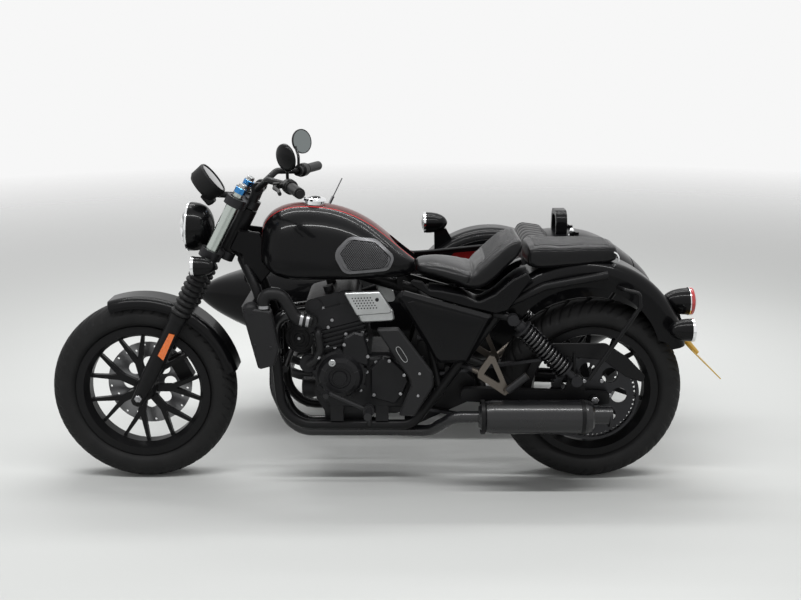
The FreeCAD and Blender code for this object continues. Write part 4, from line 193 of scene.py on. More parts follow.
floor_mesh = bpy.data.meshes.new("floor")
floor_corners = [(x * FLOOR_SIZE / 2, y * FLOOR_SIZE / 2, 0) for x, y in ((-1, -1), (1, -1), (1, 1), (-1, 1))]
floor_mesh.from_pydata(floor_corners, [], [(0, 1, 2, 3)])
floor = bpy.data.objects.new("floor", floor_mesh)
scene.collection.objects.link(floor)
floor_finish = Finish("floor", FLOOR_COLOR, 0.62, specular=0.2)
floor_finish.emboss(floor_finish.noise(90.0, 4.0), 0.04, 0.002)
far = floor_finish.node("ShaderNodeVectorMath", operation="LENGTH")
floor_finish.feed(floor_finish.place(), far.inputs[0])
gone = floor_finish.node("ShaderNodeBsdfTransparent")
either = floor_finish.node("ShaderNodeMixShader")
fade = floor_finish.span(far.outputs["Value"], 0.0, 1.0, *FLOOR_FADES)
for source, target in zip((fade, floor_finish.shader.outputs[0], gone.outputs[0]), either.inputs):
    floor_finish.feed(source, target)
output = next(n for n in floor_finish.nodes if n.type == "OUTPUT_MATERIAL")
floor_finish.feed(either.outputs[0], output.inputs["Surface"])
floor_mesh.materials.append(floor_finish.material)

# %% World
WORLD_LIGHT = 0.42
WORLD_SEEN = 0.93

world = bpy.data.worlds.new("world")
scene.world = world
world.use_nodes = True
world_nodes = world.node_tree.nodes
world_links = world.node_tree.links
background = next(n for n in world_nodes if n.type == "BACKGROUND")
background.inputs["Color"].default_value = (1.0, 1.0, 1.0, 1.0)
rays = world_nodes.new("ShaderNodeLightPath")
seen = rays.outputs["Is Glossy Ray"]
for kind in ("Is Transmission Ray", "Is Camera Ray"):
    larger = world_nodes.new("ShaderNodeMath")
    larger.operation = "MAXIMUM"
    world_links.new(seen, larger.inputs[0])
    world_links.new(rays.outputs[kind], larger.inputs[1])
    seen = larger.outputs[0]
strength = world_nodes.new("ShaderNodeMapRange")
strength.inputs["To Min"].default_value = WORLD_LIGHT
strength.inputs["To Max"].default_value = WORLD_SEEN
world_links.new(seen, strength.inputs["Value"])
world_links.new(strength.outputs["Result"], background.inputs["Strength"])


# %% Lamps
def area_lamp(name, place, target, size, power):
    """A rectangular lamp that looks at a point."""
    data = bpy.data.lights.new(name, "AREA")
    data.shape = "RECTANGLE"
    data.size, data.size_y = size
    data.energy = power
    lamp = bpy.data.objects.new(name, data)
    lamp.location = place
    x, y, z = np.array(target) - np.array(place)
    lamp.rotation_euler = (math.atan2(math.hypot(x, y), -z), 0.0, math.atan2(x, -y))
    scene.collection.objects.link(lamp)


MIDDLE = (-0.65, 0.35, 0.5)
area_lamp("tube_near", (-0.8, -1.1, 2.9), (-0.8, -0.3, 0.6), (4.2, 0.13), 82.0)
area_lamp("tube_mid", (-0.7, 0.75, 2.95), (-0.7, -0.1, 0.6), (4.2, 0.11), 50.0)
area_lamp("tube_far", (-0.6, 1.7, 2.9), (-0.6, 0.8, 0.6), (4.2, 0.13), 70.0)
area_lamp("front_fill", (-3.4, -2.4, 1.8), MIDDLE, (0.7, 0.7), 32.0)
area_lamp("camera_fill", (0.6, -3.8, 2.2), MIDDLE, (1.6, 0.5), 32.0)

# %% [markdown]
# ## Finishes
# Nearly everything is black, but no two blacks are alike: deep gloss paint, satin powder coat,
# rubber, leather and cast alloy differ in how sharp and how grainy their reflections are. So
# each gets its own roughness, its own fine bump and a little variation.

# %% Paints
GLOSS_BLACK = (0.0035, 0.0035, 0.0040)
SATIN_BLACK = (0.0065, 0.0065, 0.0070)


def gloss_paint(name, color):
    """Deep paint under clear lacquer, with the faintest ripple and dust."""
    made = Finish(name, color, 0.30, coat=0.18, coat_rough=0.03, specular=0.06)
    made.paint("Roughness", made.span(made.noise(14.0, 5.0), 0.22, 0.38))
    made.emboss(made.noise(420.0, 2.0), 0.03, 0.0004)
    return made


def powder_coat(name, color, rough=0.36):
    """Sprayed satin finish with a fine orange-peel grain."""
    made = Finish(name, color, rough, specular=0.15)
    made.paint("Roughness", made.span(made.noise(30.0, 4.0), rough - 0.06, rough + 0.10))
    made.emboss(made.noise(1500.0, 2.0), 0.10, 0.0003)
    return made


gloss_black = gloss_paint("gloss_black", GLOSS_BLACK).material
satin_black = powder_coat("satin_black", SATIN_BLACK).material
matt_black = powder_coat("matt_black", (0.011, 0.011, 0.0115), 0.50).material
smooth_grey = powder_coat("smooth_grey", (0.018, 0.018, 0.019), 0.40).material


def lacquered(name, color, rough, specular):
    """Stove enamel: harder highlights than powder coat."""
    made = Finish(name, color, rough, coat=0.25, coat_rough=0.12, specular=specular)
    made.paint("Roughness", made.span(made.noise(24.0, 4.0), rough - 0.05, rough + 0.08))
    return made.material


exhaust_black = lacquered("exhaust_black", (0.008, 0.008, 0.009), 0.27, 0.34)
spring_black = lacquered("spring_black", (0.005, 0.005, 0.006), 0.16, 0.6)

# %% Tank paint with its band and pinstripes
BAND_HALF = 0.043
PINSTRIPE = (0.047, 0.0515)
BAND_COLOR = (0.075, 0.020, 0.018)
PINSTRIPE_COLOR = (0.50, 0.020, 0.022)

tank_finish = gloss_paint("tank_paint", GLOSS_BLACK)


def within(finish, value, low, high):
    """1 where value lies between low and high."""
    above = finish.math("GREATER_THAN", value, low)
    return finish.math("MULTIPLY", above, finish.math("LESS_THAN", value, high))


aside = tank_finish.math("ABSOLUTE", tank_finish.axes()["Y"])
banded = tank_finish.blend(within(tank_finish, aside, -1.0, BAND_HALF), GLOSS_BLACK, BAND_COLOR)
striped = tank_finish.blend(within(tank_finish, aside, *PINSTRIPE), banded, PINSTRIPE_COLOR)
tank_finish.paint("Base Color", striped)
tank_paint = tank_finish.material


# %% Metals
def cast_metal(name, color, rough, grain=0.16, metal=1.0):
    """Sand-cast alloy: dull, finely pitted and a little blotched."""
    made = Finish(name, color, rough, metal=metal, specular=0.2)
    lighter = tuple(min(1.0, c * 1.25) for c in color)
    darker = tuple(c * 0.75 for c in color)
    made.paint("Base Color", made.blend(made.noise(22.0, 5.0), darker, lighter))
    made.paint("Roughness", made.span(made.noise(60.0, 4.0), rough - 0.07, rough + 0.12))
    made.emboss(made.noise(900.0, 3.0), grain, 0.0006)
    return made


def brushed_metal(name, color, rough, stretch):
    """Drawn or turned metal with fine scratches across the stretched axes."""
    made = Finish(name, color, rough, metal=1.0)
    made.paint("Roughness", made.span(made.noise(40.0, 6.0, stretch), rough - 0.08, rough + 0.14))
    made.emboss(made.noise(160.0, 4.0, stretch), 0.06, 0.0003)
    return made


alloy = cast_metal("cast_alloy", (0.42, 0.43, 0.43), 0.34).material
dark_alloy = cast_metal("dark_alloy", (0.026, 0.026, 0.028), 0.38, metal=0.6).material
engine_black = cast_metal("engine_black", (0.012, 0.012, 0.013), 0.44, metal=0.2).material
cover_black = cast_metal("cover_black", (0.010, 0.010, 0.011), 0.30, metal=0.2).material
dark_steel = brushed_metal("dark_steel", (0.034, 0.034, 0.036), 0.34, (6.0, 1.0, 6.0)).material
disc_steel = brushed_metal("disc_steel", (0.20, 0.20, 0.205), 0.30, (1.0, 1.0, 1.0)).material
fork_steel = brushed_metal("fork_steel", (0.46, 0.50, 0.47), 0.20, (1.0, 1.0, 12.0)).material
bare_steel = brushed_metal("bare_steel", (0.34, 0.34, 0.35), 0.30, (6.0, 1.0, 6.0)).material
chrome = Finish("chrome", (0.82, 0.83, 0.84), 0.07, metal=1.0).material
blue_anodised = Finish("blue_anodised", (0.05, 0.22, 0.50), 0.25, metal=1.0).material

# %% Rubber, leather and cloth
tyre_finish = Finish("tyre_rubber", (0.011, 0.011, 0.011), 0.62, specular=0.18)
worn = tyre_finish.blend(tyre_finish.noise(18.0, 6.0), (0.007, 0.007, 0.0075), (0.017, 0.017, 0.017))
tyre_finish.paint("Base Color", worn)
tyre_finish.emboss(tyre_finish.noise(700.0, 3.0), 0.10, 0.0005)
tyre_rubber = tyre_finish.material

rubber_finish = Finish("black_rubber", (0.009, 0.009, 0.0095), 0.46, specular=0.2)
rubber_finish.emboss(rubber_finish.noise(800.0, 3.0), 0.08, 0.0004)
black_rubber = rubber_finish.material

leather_finish = Finish(
    "seat_leather",
    (0.0055, 0.0055, 0.006),
    0.32,
    coat=0.08,
    coat_rough=0.16,
    specular=0.17,
)
leather_finish.paint("Roughness", leather_finish.span(leather_finish.noise(26.0, 4.0), 0.26, 0.40))
leather_finish.emboss(leather_finish.cells(620.0, "SMOOTH_F1"), 0.22, 0.0004)
seat_leather = leather_finish.material

cloth_finish = Finish("red_cloth", (0.30, 0.012, 0.014), 0.80, specular=0.2)
woven = cloth_finish.blend(cloth_finish.noise(700.0, 2.0), (0.20, 0.008, 0.010), (0.40, 0.020, 0.022))
cloth_finish.paint("Base Color", woven)
cloth_finish.emboss(cloth_finish.noise(1200.0, 2.0), 0.3, 0.0006)
red_cloth = cloth_finish.material

# %% Lenses, mirror and plate
clear_finish = Finish("clear_lens", (0.96, 0.97, 0.98), 0.03)
clear_finish.set("Transmission Weight", 1.0)
clear_finish.set("IOR", 1.45)
clear_lens = clear_finish.material
red_finish = Finish("red_lens", (0.42, 0.008, 0.010), 0.10, coat=1.0)
red_finish.emboss(red_finish.cells(260.0), 0.25, 0.0008)
red_lens = red_finish.material
amber_lens = Finish("amber_lens", (0.85, 0.20, 0.015), 0.14, coat=1.0).material
mirror_glass = Finish("mirror_glass", (0.20, 0.22, 0.22), 0.03, metal=1.0).material
plate_finish = Finish("plate_yellow", (0.62, 0.40, 0.07), 0.35, coat=0.3)
plate_finish.emboss(plate_finish.noise(1400.0, 2.0), 0.06, 0.0003)
plate_yellow = plate_finish.material
badge_grey = cast_metal("badge_grey", (0.13, 0.13, 0.135), 0.30, metal=0.8).material

# %% Footrests: cast hangers, rubber pegs
HANGER_FRONT = -0.42
HANGER_OUTER = 0.208
peg_finish = Finish("footrests", (0.012, 0.012, 0.013), 0.45, specular=0.3)
peg_axes = peg_finish.axes()
peg_aside = peg_finish.math("ABSOLUTE", peg_axes["Y"])
behind = within(peg_finish, peg_axes["X"], HANGER_FRONT, 1.0)
hanger = peg_finish.math("MULTIPLY", behind, within(peg_finish, peg_aside, 0.0, HANGER_OUTER))
peg_finish.paint("Base Color", peg_finish.blend(hanger, (0.010, 0.010, 0.011), (0.13, 0.115, 0.10)))
peg_finish.paint("Metallic", hanger)
peg_finish.emboss(peg_finish.noise(900.0, 3.0), 0.10, 0.0005)

# %% Give every carried-over node its finish
NODE_FINISHES = (
    (tyre_rubber, "front_tyre rear_tyre side_tyre"),
    (satin_black, "front_wheel rear_wheel side_wheel fork_sliders handlebar hand_controls frame swingarm"),
    (satin_black, "seat_rails fender_stays chain_guard sidecar_chassis"),
    (disc_steel, "front_disc rear_disc"),
    (dark_steel, "rear_sprocket drive_chain"),
    (dark_alloy, "yokes rear_shocks"),
    (fork_steel, "fork_tubes"),
    (black_rubber, "fork_gaiters grips radiator_hose"),
    (gloss_black, "mirrors headlamp_shell front_fender front_signals side_panels neck_covers"),
    (gloss_black, "rear_fender rear_lamps sidecar_tub sidecar_nose sidecar_tail boot_lid"),
    (gloss_black, "sidecar_fender sidecar_lamps grab_hoop"),
    (clear_lens, "headlamp_lens"),
    (matt_black, "dash_pod"),
    (engine_black, "engine_case engine_top"),
    (cover_black, "engine_covers"),
    (smooth_grey, "radiator sprocket_trim"),
    (exhaust_black, "exhaust_pipes muffler"),
    (tank_paint, "fuel_tank"),
    (badge_grey, "tank_badges"),
    (chrome, "fuel_cap"),
    (seat_leather, "solo_seat pillion_seat sidecar_seat"),
    (alloy, "intake_covers"),
    (spring_black, "shock_springs"),
    (plate_yellow, "plate_holder"),
    (peg_finish.material, "foot_pegs"),
    (bare_steel, "marker_rod"),
)
unfinished = set(NODES)
for material, names in NODE_FINISHES:
    for name in names.split():
        NODES[name].data.materials.clear()
        NODES[name].data.materials.append(material)
        unfinished.discard(name)
print("without a finish:", sorted(unfinished))

# %% [markdown]
# ## Surfaces from arrays
# Every added piece is a grid of points worked out by a formula, such as a profile turned about
# an axis or carried along a path. Grids are joined by four-sided faces, so that one formula
# gives the whole skin, seams and poles closed. Sizes below are in millimetres, like the real
# drawings, and become metres at the last step.

# %% From points to pieces
MM = 0.001


def grid_faces(rows, columns, ring_rows=False):
    """Four-sided faces between neighbours of a grid of points, whose every row is a ring."""
    i, j = np.meshgrid(np.arange(rows if ring_rows else rows - 1), np.arange(columns), indexing="ij")
    here, down = i * columns, (i + 1) % rows * columns
    right = (j + 1) % columns
    return np.stack([here + j, down + j, down + right, here + right], -1).reshape(-1, 4)


def piece(name, corners, faces, material, body, sharp=38.0):
    """An object from corners in millimetres. Doubles are merged and the faces turned outwards."""
    mesh = bpy.data.meshes.new(name)
    faces = faces.tolist() if isinstance(faces, np.ndarray) else faces
    mesh.from_pydata((np.reshape(corners, (-1, 3)) * MM).tolist(), [], faces)
    work = bmesh.new()
    work.from_mesh(mesh)
    bmesh.ops.remove_doubles(work, verts=work.verts, dist=1e-6)
    bmesh.ops.recalc_face_normals(work, faces=work.faces)
    work.to_mesh(mesh)
    work.free()
    mesh.shade_smooth()
    mesh.set_sharp_from_angle(angle=math.radians(sharp))
    mesh.materials.append(material)
    made = bpy.data.objects.new(name, mesh)
    scene.collection.objects.link(made)
    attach(made, body)
    return made


def unit(vector):
    """The direction of a vector."""
    vector = np.array(vector, float)
    return vector / np.linalg.norm(vector)


def signed_power(value, power):
    """Size of value to a power, with value's own sign. It squares an oval's sine and cosine."""
    return np.sign(value) * np.abs(value) ** power


def run_of(points):
    """Distance travelled from the first of a row of points to each of them."""
    return np.concatenate([[0.0], np.cumsum(np.linalg.norm(np.diff(points, axis=0), axis=1))])


def evenly(points, count):
    """Even points round a closed outline."""
    closed = np.vstack([points, points[:1]])
    run = run_of(closed)
    even = np.linspace(0.0, run[-1], count, endpoint=False)
    return np.column_stack([np.interp(even, run, closed[:, k]) for k in (0, 1)])


def across(direction):
    """A unit direction and two more at right angles to it."""
    axis = unit(direction)
    first = unit(np.cross(axis, (0.0, 1.0, 0.0) if abs(axis[1]) < 0.9 else (0.0, 0.0, 1.0)))
    return axis, first, np.cross(axis, first)


def lathe(start, direction, rows, steps, first_turn=0.0):
    """A profile turned about an axis: start + along * axis + radius * (cos, sin) round it."""
    axis, first, second = across(direction)
    turn = np.linspace(0.0, 2.0 * math.pi, steps, endpoint=False) + first_turn
    ring = np.outer(np.cos(turn), first) + np.outer(np.sin(turn), second)
    rows = np.array(rows, float)
    return np.array(start, float) + rows[:, 0, None, None] * axis + rows[:, 1, None, None] * ring


def turned(name, start, direction, rows, material, body, steps=48, loop=False):
    """A lathed piece. A loop joins its last row to its first, as in a ring."""
    faces = grid_faces(len(rows), steps, ring_rows=loop)
    return piece(name, lathe(start, direction, rows, steps), faces, material, body)


def smooth_curve(points, count):
    """Even points on cubic pieces whose slope at a point is that of the line between its neighbours."""
    p = np.array(points, float)
    t = run_of(p)
    slope = np.gradient(p, t, axis=0)
    u = np.linspace(0.0, t[-1], count)
    i = np.clip(np.searchsorted(t, u, side="right") - 1, 0, len(p) - 2)
    h = (t[i + 1] - t[i])[:, None]
    s = (u - t[i])[:, None] / h
    return (
        (2 * s**3 - 3 * s**2 + 1) * p[i]
        + (s**3 - 2 * s**2 + s) * h * slope[i]
        + (3 * s**2 - 2 * s**3) * p[i + 1]
        + (s**3 - s**2) * h * slope[i + 1]
    )


def tube_points(path, normal, radius, sides=10, closed=False):
    """Rings of points round a path: path + radius * (cos * normal + sin * (tangent x normal))."""
    path = np.array(path, float)
    if closed:
        tangent = np.roll(path, -1, axis=0) - np.roll(path, 1, axis=0)
    else:
        tangent = np.gradient(path, axis=0)
    tangent /= np.linalg.norm(tangent, axis=1, keepdims=True)
    side = np.broadcast_to(np.array(normal, float), path.shape)
    side = side - tangent * np.sum(side * tangent, axis=1, keepdims=True)
    side /= np.linalg.norm(side, axis=1, keepdims=True)
    other = np.cross(tangent, side)
    turn = np.linspace(0.0, 2.0 * math.pi, sides, endpoint=False)
    ring = np.cos(turn)[None, :, None] * side[:, None] + np.sin(turn)[None, :, None] * other[:, None]
    return path[:, None] + np.reshape(radius, (-1, 1, 1)) * ring


def tube(name, path, normal, radius, material, body, sides=10, closed=False):
    """A round bar along a path, its ends closed to a point unless it is a ring."""
    points = tube_points(path, normal, radius, sides, closed)
    if not closed:
        ends = [np.repeat(np.array(path[k], float)[None, None], sides, axis=1) for k in (0, -1)]
        points = np.concatenate([ends[0], points, ends[1]])
    return piece(name, points, grid_faces(len(points), sides, ring_rows=closed), material, body)


def joined(parts):
    """Several (corners, faces) pairs as one."""
    corners, faces, count = [], [], 0
    for c, f in parts:
        c = np.reshape(c, (-1, 3))
        corners.append(c)
        faces += (np.asarray(f) + count).tolist()
        count += len(c)
    return np.concatenate(corners), faces


def plate(name, outline, levels, material, body, sharp):
    """An outline in X and Z, drawn in about its middle by a share at each level of Y, as one skin."""
    outline = np.array(outline, float)
    middle = outline.mean(0)
    rows = []
    for y, share in levels:
        flat = middle + (outline - middle) * share
        rows.append(np.column_stack([flat[:, 0], np.full(len(flat), y), flat[:, 1]]))
    return piece(name, np.stack(rows), grid_faces(len(rows), len(outline)), material, body, sharp)


# %% [markdown]
# ## Shared points of the motorcycle
# The fork, headlamp, dash and mirrors all hang on the steering axis, which leans back by the
# rake. These few formulas give points on that axis and on the fork legs, so that the trim lands
# on the frame's own parts.

# %% Steering layout
RAKE = math.radians(27.5)
UP = np.array([math.sin(RAKE), 0.0, math.cos(RAKE)])
BACK = np.array([math.cos(RAKE), 0.0, -math.sin(RAKE)])
FRONT_AXLE = np.array([-1560.0, 0.0, 320.0])
REAR_AXLE = np.array([0.0, 0.0, 322.0])
SIDE_AXLE = np.array([-260.0, 1150.0, 320.0])
YOKE_OFFSET = 45.0
FORK_HALF = 100.0
UPPER_YOKE = 975.0
SIDES = ((-1, "left"), (1, "right"))


def on_fork(height, y=0.0):
    """Point of a fork leg's axis at a height."""
    return FRONT_AXLE + UP * ((height - FRONT_AXLE[2]) / UP[2]) + np.array([0.0, y, 0.0])


def on_steering(height):
    """Point of the steering axis at a height."""
    base = FRONT_AXLE + BACK * YOKE_OFFSET
    return base + UP * ((height - base[2]) / UP[2])


print("steering axis at the upper yoke", on_steering(UPPER_YOKE).round(1))

# %% [markdown]
# ## Tyres
# A tyre is one profile turned about the axle. The tread is cut by lowering the radius where a
# groove runs: slanted cuts that mirror across the middle, shorter cuts between them on the
# shoulders, and a waving middle groove. Carving beats a bump map here, because the silhouette
# of the shoulder shows the blocks.

# %% Tread by formula
RIM_FLANGE = 234.0
RIM_SEAT = 219.0
RIM_MARGIN = 26.0
TREAD_STEPS = 624
TREAD_COLUMNS = 74
GROOVE_DEPTH = 5.0
PITCHES = 26


def soft_step(value, low, high):
    """0 below low and 1 above high, with a smooth rise between them."""
    s = np.clip((value - low) / (high - low), 0.0, 1.0)
    return s * s * (3.0 - 2.0 * s)


def tread_depth(turn, across_share):
    """Groove depth, 0 to 1: slanted cuts where the wheel's turn and the place across agree."""
    v = np.abs(across_share)
    phase = PITCHES * turn / (2.0 * math.pi)

    def slanted(shift, narrow, wide, start, end):
        """A cut of each pitch that runs between two shares across."""
        beside = np.abs((phase - 0.9 * v**1.3 + shift) % 1.0 - 0.5)
        return (1.0 - soft_step(beside, narrow, wide)) * soft_step(v, *start) * (1.0 - soft_step(v, *end))

    long_cut = slanted(0.0, 0.060, 0.100, (0.10, 0.16), (0.985, 0.998))
    short_cut = slanted(0.5, 0.045, 0.085, (0.42, 0.50), (0.93, 0.97))
    wave = across_share - 0.045 * np.sin(2.0 * math.pi * phase)
    middle = 1.0 - soft_step(np.abs(wave), 0.028, 0.060)
    return np.maximum(np.maximum(long_cut, short_cut), middle)


def tyre(name, node, centre, radius, width, body):
    """radius(turn, v) = profile radius - depth * groove(turn, v), closed behind the beads."""
    half = width / 2.0
    bead = (width - RIM_MARGIN) / 2.0 - 8.3
    shoulder = radius - half * 0.62
    side = [
        (RIM_FLANGE + 1.0, bead),
        (RIM_FLANGE + (shoulder - RIM_FLANGE) * 0.35, half * 0.95),
        (shoulder, half * 1.0),
        (radius - half * 0.22, half * 0.80),
        (radius, 0.0),
    ]
    rows = np.array(side + [(r, -y) for r, y in reversed(side[:-1])])
    profile = smooth_curve(rows, TREAD_COLUMNS)
    r, y = profile[:, 0], profile[:, 1]
    turn = np.linspace(0.0, 2.0 * math.pi, TREAD_STEPS, endpoint=False)
    share = y / half
    reach = soft_step(r, shoulder - 9.0, shoulder + 3.0)
    depth = tread_depth(turn[:, None], share[None, :]) * reach * GROOVE_DEPTH
    r_all = np.concatenate([r[None, :] - depth, np.full((TREAD_STEPS, 2), RIM_SEAT)], axis=1)
    y_all = np.concatenate([y, [-bead + 1.0, bead - 1.0]])
    x = centre[0] + r_all * np.cos(turn)[:, None]
    z = centre[2] + r_all * np.sin(turn)[:, None]
    points = np.stack([x, np.broadcast_to(centre[1] + y_all, r_all.shape), z], -1)
    made = piece(name, points, grid_faces(TREAD_STEPS, TREAD_COLUMNS + 2, True), tyre_rubber, body, 50.0)
    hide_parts(node)
    print(name, "faces", len(made.data.polygons))


tyre("tread_front", "front_tyre", FRONT_AXLE, 320.0, 130.0, "front_wheel_set")
tyre("tread_rear", "rear_tyre", REAR_AXLE, 322.0, 150.0, "rear_wheel_set")
tyre("tread_side", "side_tyre", SIDE_AXLE, 320.0, 120.0, "side_wheel_set")

# %% [markdown]
# ## Bolts and nuts
# A socket bolt is a lathed head with a hole in its top. All bolts of one unit are joined in one
# piece. Each is set by casting a line at the engine from the side, so its head sits on whatever
# surface is there.

# %% Bolt heads
def scattered(name, places, direction, rows, steps, material, body, first_turn=0.0):
    """The same lathed shape at several places, all facing one way, as one piece."""
    faces = grid_faces(len(rows), steps)
    shapes = [(lathe(place, direction, rows, steps, first_turn), faces) for place in places]
    return piece(name, *joined(shapes), material, body)


def bolts(name, places, direction, radius, height, material, body="machine"):
    """Socket bolt heads: a rim, a bevel and a hole 0.6 of the height deep."""
    r, h = radius, height
    rows = [(-1, r), (h * 0.75, r), (h, r * 0.85), (h, r * 0.52), (h * 0.4, r * 0.5), (h * 0.4, 0)]
    scattered(name, places, direction, rows, 14, material, body)


# %% Casting lines at the frame's nodes
FAR_OFF = 400.0


def skin(*names):
    """A search tree over the faces of some nodes."""
    corners, faces, count = [], [], 0
    for name in names:
        mesh = NODES[name].data
        co = np.zeros(len(mesh.vertices) * 3)
        mesh.vertices.foreach_get("co", co)
        index = np.zeros(len(mesh.loops), int)
        mesh.loops.foreach_get("vertex_index", index)
        corners.append(co.reshape(-1, 3))
        faces.append(index.reshape(-1, 3) + count)
        count += len(mesh.vertices)
    return BVHTree.FromPolygons(np.concatenate(corners).tolist(), np.concatenate(faces).tolist())


def seats_from(tree, points, direction):
    """Where lines from points, along a direction, first meet the skin. Lines that miss are left out."""
    hits = [tree.ray_cast(Vector([c * MM for c in point]), Vector(direction))[0] for point in points]
    return [np.array(hit) / MM for hit in hits if hit is not None]


def side_seats(tree, points, side=-1):
    """The same for points (x, z), from far off on one side."""
    return seats_from(tree, [(x, side * FAR_OFF, z) for x, z in points], (0, -side, 0))


engine_skin = skin("engine_case", "engine_covers", "engine_top")
ENGINE_BOLTS = (
    (-908, 505), (-884, 503), (-937, 472), (-955, 410), (-915, 352), (-798, 352), (-776, 417), (-772, 478),
    (-745, 452), (-776, 529), (-790, 556), (-846, 552), (-851, 520), (-892, 600), (-922, 640), (-905, 575),
    (-700, 462), (-650, 412), (-662, 346), (-752, 342),
)
left_seats = side_seats(engine_skin, ENGINE_BOLTS)
bolts("engine_bolts_left", left_seats, (0, -1, 0), 6.0, 5.0, bare_steel)
CLUTCH = (-835, 378)
CLUTCH_R = 99
CLUTCH_BOLTS = 9
turns = [2 * math.pi * (i + 0.3) / CLUTCH_BOLTS for i in range(CLUTCH_BOLTS)]
clutch_ring = [(CLUTCH[0] + CLUTCH_R * math.cos(t), CLUTCH[1] + CLUTCH_R * math.sin(t)) for t in turns]
right_seats = side_seats(engine_skin, clutch_ring, 1)
bolts("engine_bolts_right", right_seats, (0, 1, 0), 6.0, 5.0, bare_steel)
print("bolts on the engine", len(left_seats), len(right_seats))

# %% Plugs and ribs of the left cover
COVER = (-866.0, 410.0)
plug_seat = side_seats(engine_skin, [(-891, 462)])[0]
plug_rows = [(-2, 12), (3, 12), (4.5, 10.5), (4.5, 6), (2, 5.5), (2, 0)]
turned("cover_plug", plug_seat, (0, -1, 0), plug_rows, alloy, "machine", 30)
rib_parts = []
for angle in range(20, 380, 45):
    t = math.radians(angle)
    spots = [(COVER[0] + r * math.cos(t), COVER[1] + r * math.sin(t)) for r in (46, 52, 58, 64, 70)]
    path = np.array(side_seats(engine_skin, spots))
    rib_parts.append((tube_points(path, (0, 1, 0), 1.6, 6), grid_faces(len(path), 6)))
piece("cover_ribs", *joined(rib_parts), engine_black, "machine")

# %% Axle nuts and sprocket bolts
NUT_ROWS = [(-1, 0), (-1, 13), (6, 13), (8, 11), (8, 6), (12, 6), (12, 0)]
for name, place, look, body in (
    ("front_axle_nut", FRONT_AXLE - (0, 126, 0), (0, -1, 0), "steering"),
    ("front_axle_head", FRONT_AXLE + (0, 126, 0), (0, 1, 0), "steering"),
    ("rear_axle_nut", REAR_AXLE - (0, 146.7, 0), (0, -1, 0), "machine"),
    ("rear_axle_head", REAR_AXLE + (0, 146.7, 0), (0, 1, 0), "machine"),
    ("side_axle_nut", SIDE_AXLE + (0, 62, 0), (0, 1, 0), "machine"),
):
    turned(name, place, look, NUT_ROWS, bare_steel, body, 6)
CARRIER_R = 60
CARRIER_FACE = -95.5
turns = np.linspace(0, 2 * math.pi, 6, endpoint=False)
ring = [REAR_AXLE + (CARRIER_R * math.cos(t), CARRIER_FACE, CARRIER_R * math.sin(t)) for t in turns]
bolts("sprocket_bolts", ring, (0, -1, 0), 7.0, 5.0, bare_steel, "rear_wheel_set")

# %% [markdown]
# ## Drive chain
# The frame carries the chain as a grooved band. Each link is a pair of waisted plates on two
# pins, so the plates' outline is two circles joined by a slightly pinched waist, laid along the
# loop at the chain's pitch.

# %% Link plates on the near side
CHAIN_Y = -92.0
CHAIN_PITCH = 15.9
SPROCKET_R = 149.0
FRONT_R = 38.0
FRONT_SPROCKET = np.array([-670.0, 336.0])


def chain_loop():
    """Even points on the loop round two circles, at the middle of the chain's height."""
    r1, r0 = SPROCKET_R + 5.5, FRONT_R + 5.5
    lean = math.asin((SPROCKET_R - FRONT_R) / -FRONT_SPROCKET[0])
    back, front = np.array([0.0, 322.0]), FRONT_SPROCKET
    up = np.array([-math.sin(lean), math.cos(lean)])
    down = np.array([-math.sin(lean), -math.cos(lean)])
    start = math.atan2(up[1], up[0])
    end = math.atan2(down[1], down[0])
    big = np.linspace(start, end, 60)[:, None]
    small = np.linspace(end, start - 2 * math.pi, 40)[:, None]
    arc1 = back + r1 * np.hstack([np.cos(big), np.sin(big)])
    arc0 = front + r0 * np.hstack([np.cos(small), np.sin(small)])
    whole = np.vstack([front + up * r0, arc1, arc0])
    run = run_of(whole)
    count = 2 * round(run[-1] / CHAIN_PITCH / 2)
    even = np.linspace(0.0, run[-1], count, endpoint=False)
    return np.column_stack([np.interp(even, run, whole[:, k]) for k in (0, 1)])


pins = chain_loop()
PLATE_STEPS = 20
CHAIN_FRONT = -590
plate_turn = np.linspace(0, 2 * math.pi, PLATE_STEPS, endpoint=False)


def link_plates(name, first, thick, y, size):
    """Ovals that reach past both pins, their half height pinched from 1 at the ends to 0.78 between."""
    following = np.roll(pins, -1, axis=0)
    parts = []
    for k in range(first, len(pins), 2):
        if min(pins[k, 0], following[k, 0]) <= CHAIN_FRONT:
            continue
        middle = (pins[k] + following[k]) / 2
        length = np.linalg.norm(following[k] - pins[k])
        along = (following[k] - pins[k]) / length
        aside = np.array([-along[1], along[0]])
        reach = (length / 2 + size) * np.cos(plate_turn)
        wide = size * signed_power(np.sin(plate_turn), 0.6) * (0.78 + 0.22 * np.cos(plate_turn) ** 2)
        flat = middle + reach[:, None] * along + wide[:, None] * aside
        rings = [(flat, y), (flat, y - thick), (np.repeat(middle[None], PLATE_STEPS, 0), y - thick)]
        rows = [np.column_stack([f[:, 0], np.full(PLATE_STEPS, h), f[:, 1]]) for f, h in rings]
        parts.append((np.stack(rows), grid_faces(3, PLATE_STEPS)))
    piece(name, *joined(parts), dark_steel, "machine")


link_plates("chain_outer_plates", 0, 1.6, CHAIN_Y - 8.6, 5.4)
link_plates("chain_inner_plates", 1, 0.7, CHAIN_Y - 8.6, 5.0)
pin_places = [(x, CHAIN_Y - 10.2, z) for x, z in pins if x > CHAIN_FRONT]
pin_rows = [(-1, 2.4), (0.8, 2.4), (1.2, 1.8), (1.2, 0)]
scattered("chain_pins", pin_places, (0, -1, 0), pin_rows, 8, dark_steel, "machine")
print("chain pins", len(pins), "shown", len(pin_places))

# %% [markdown]
# ## Lamps
# Each small lamp is a bullet shell with a metal ring and a domed lens. The lens is a shallow
# cap, thicker in its middle, over a bright cup, because a lens on a black hole looks dead.


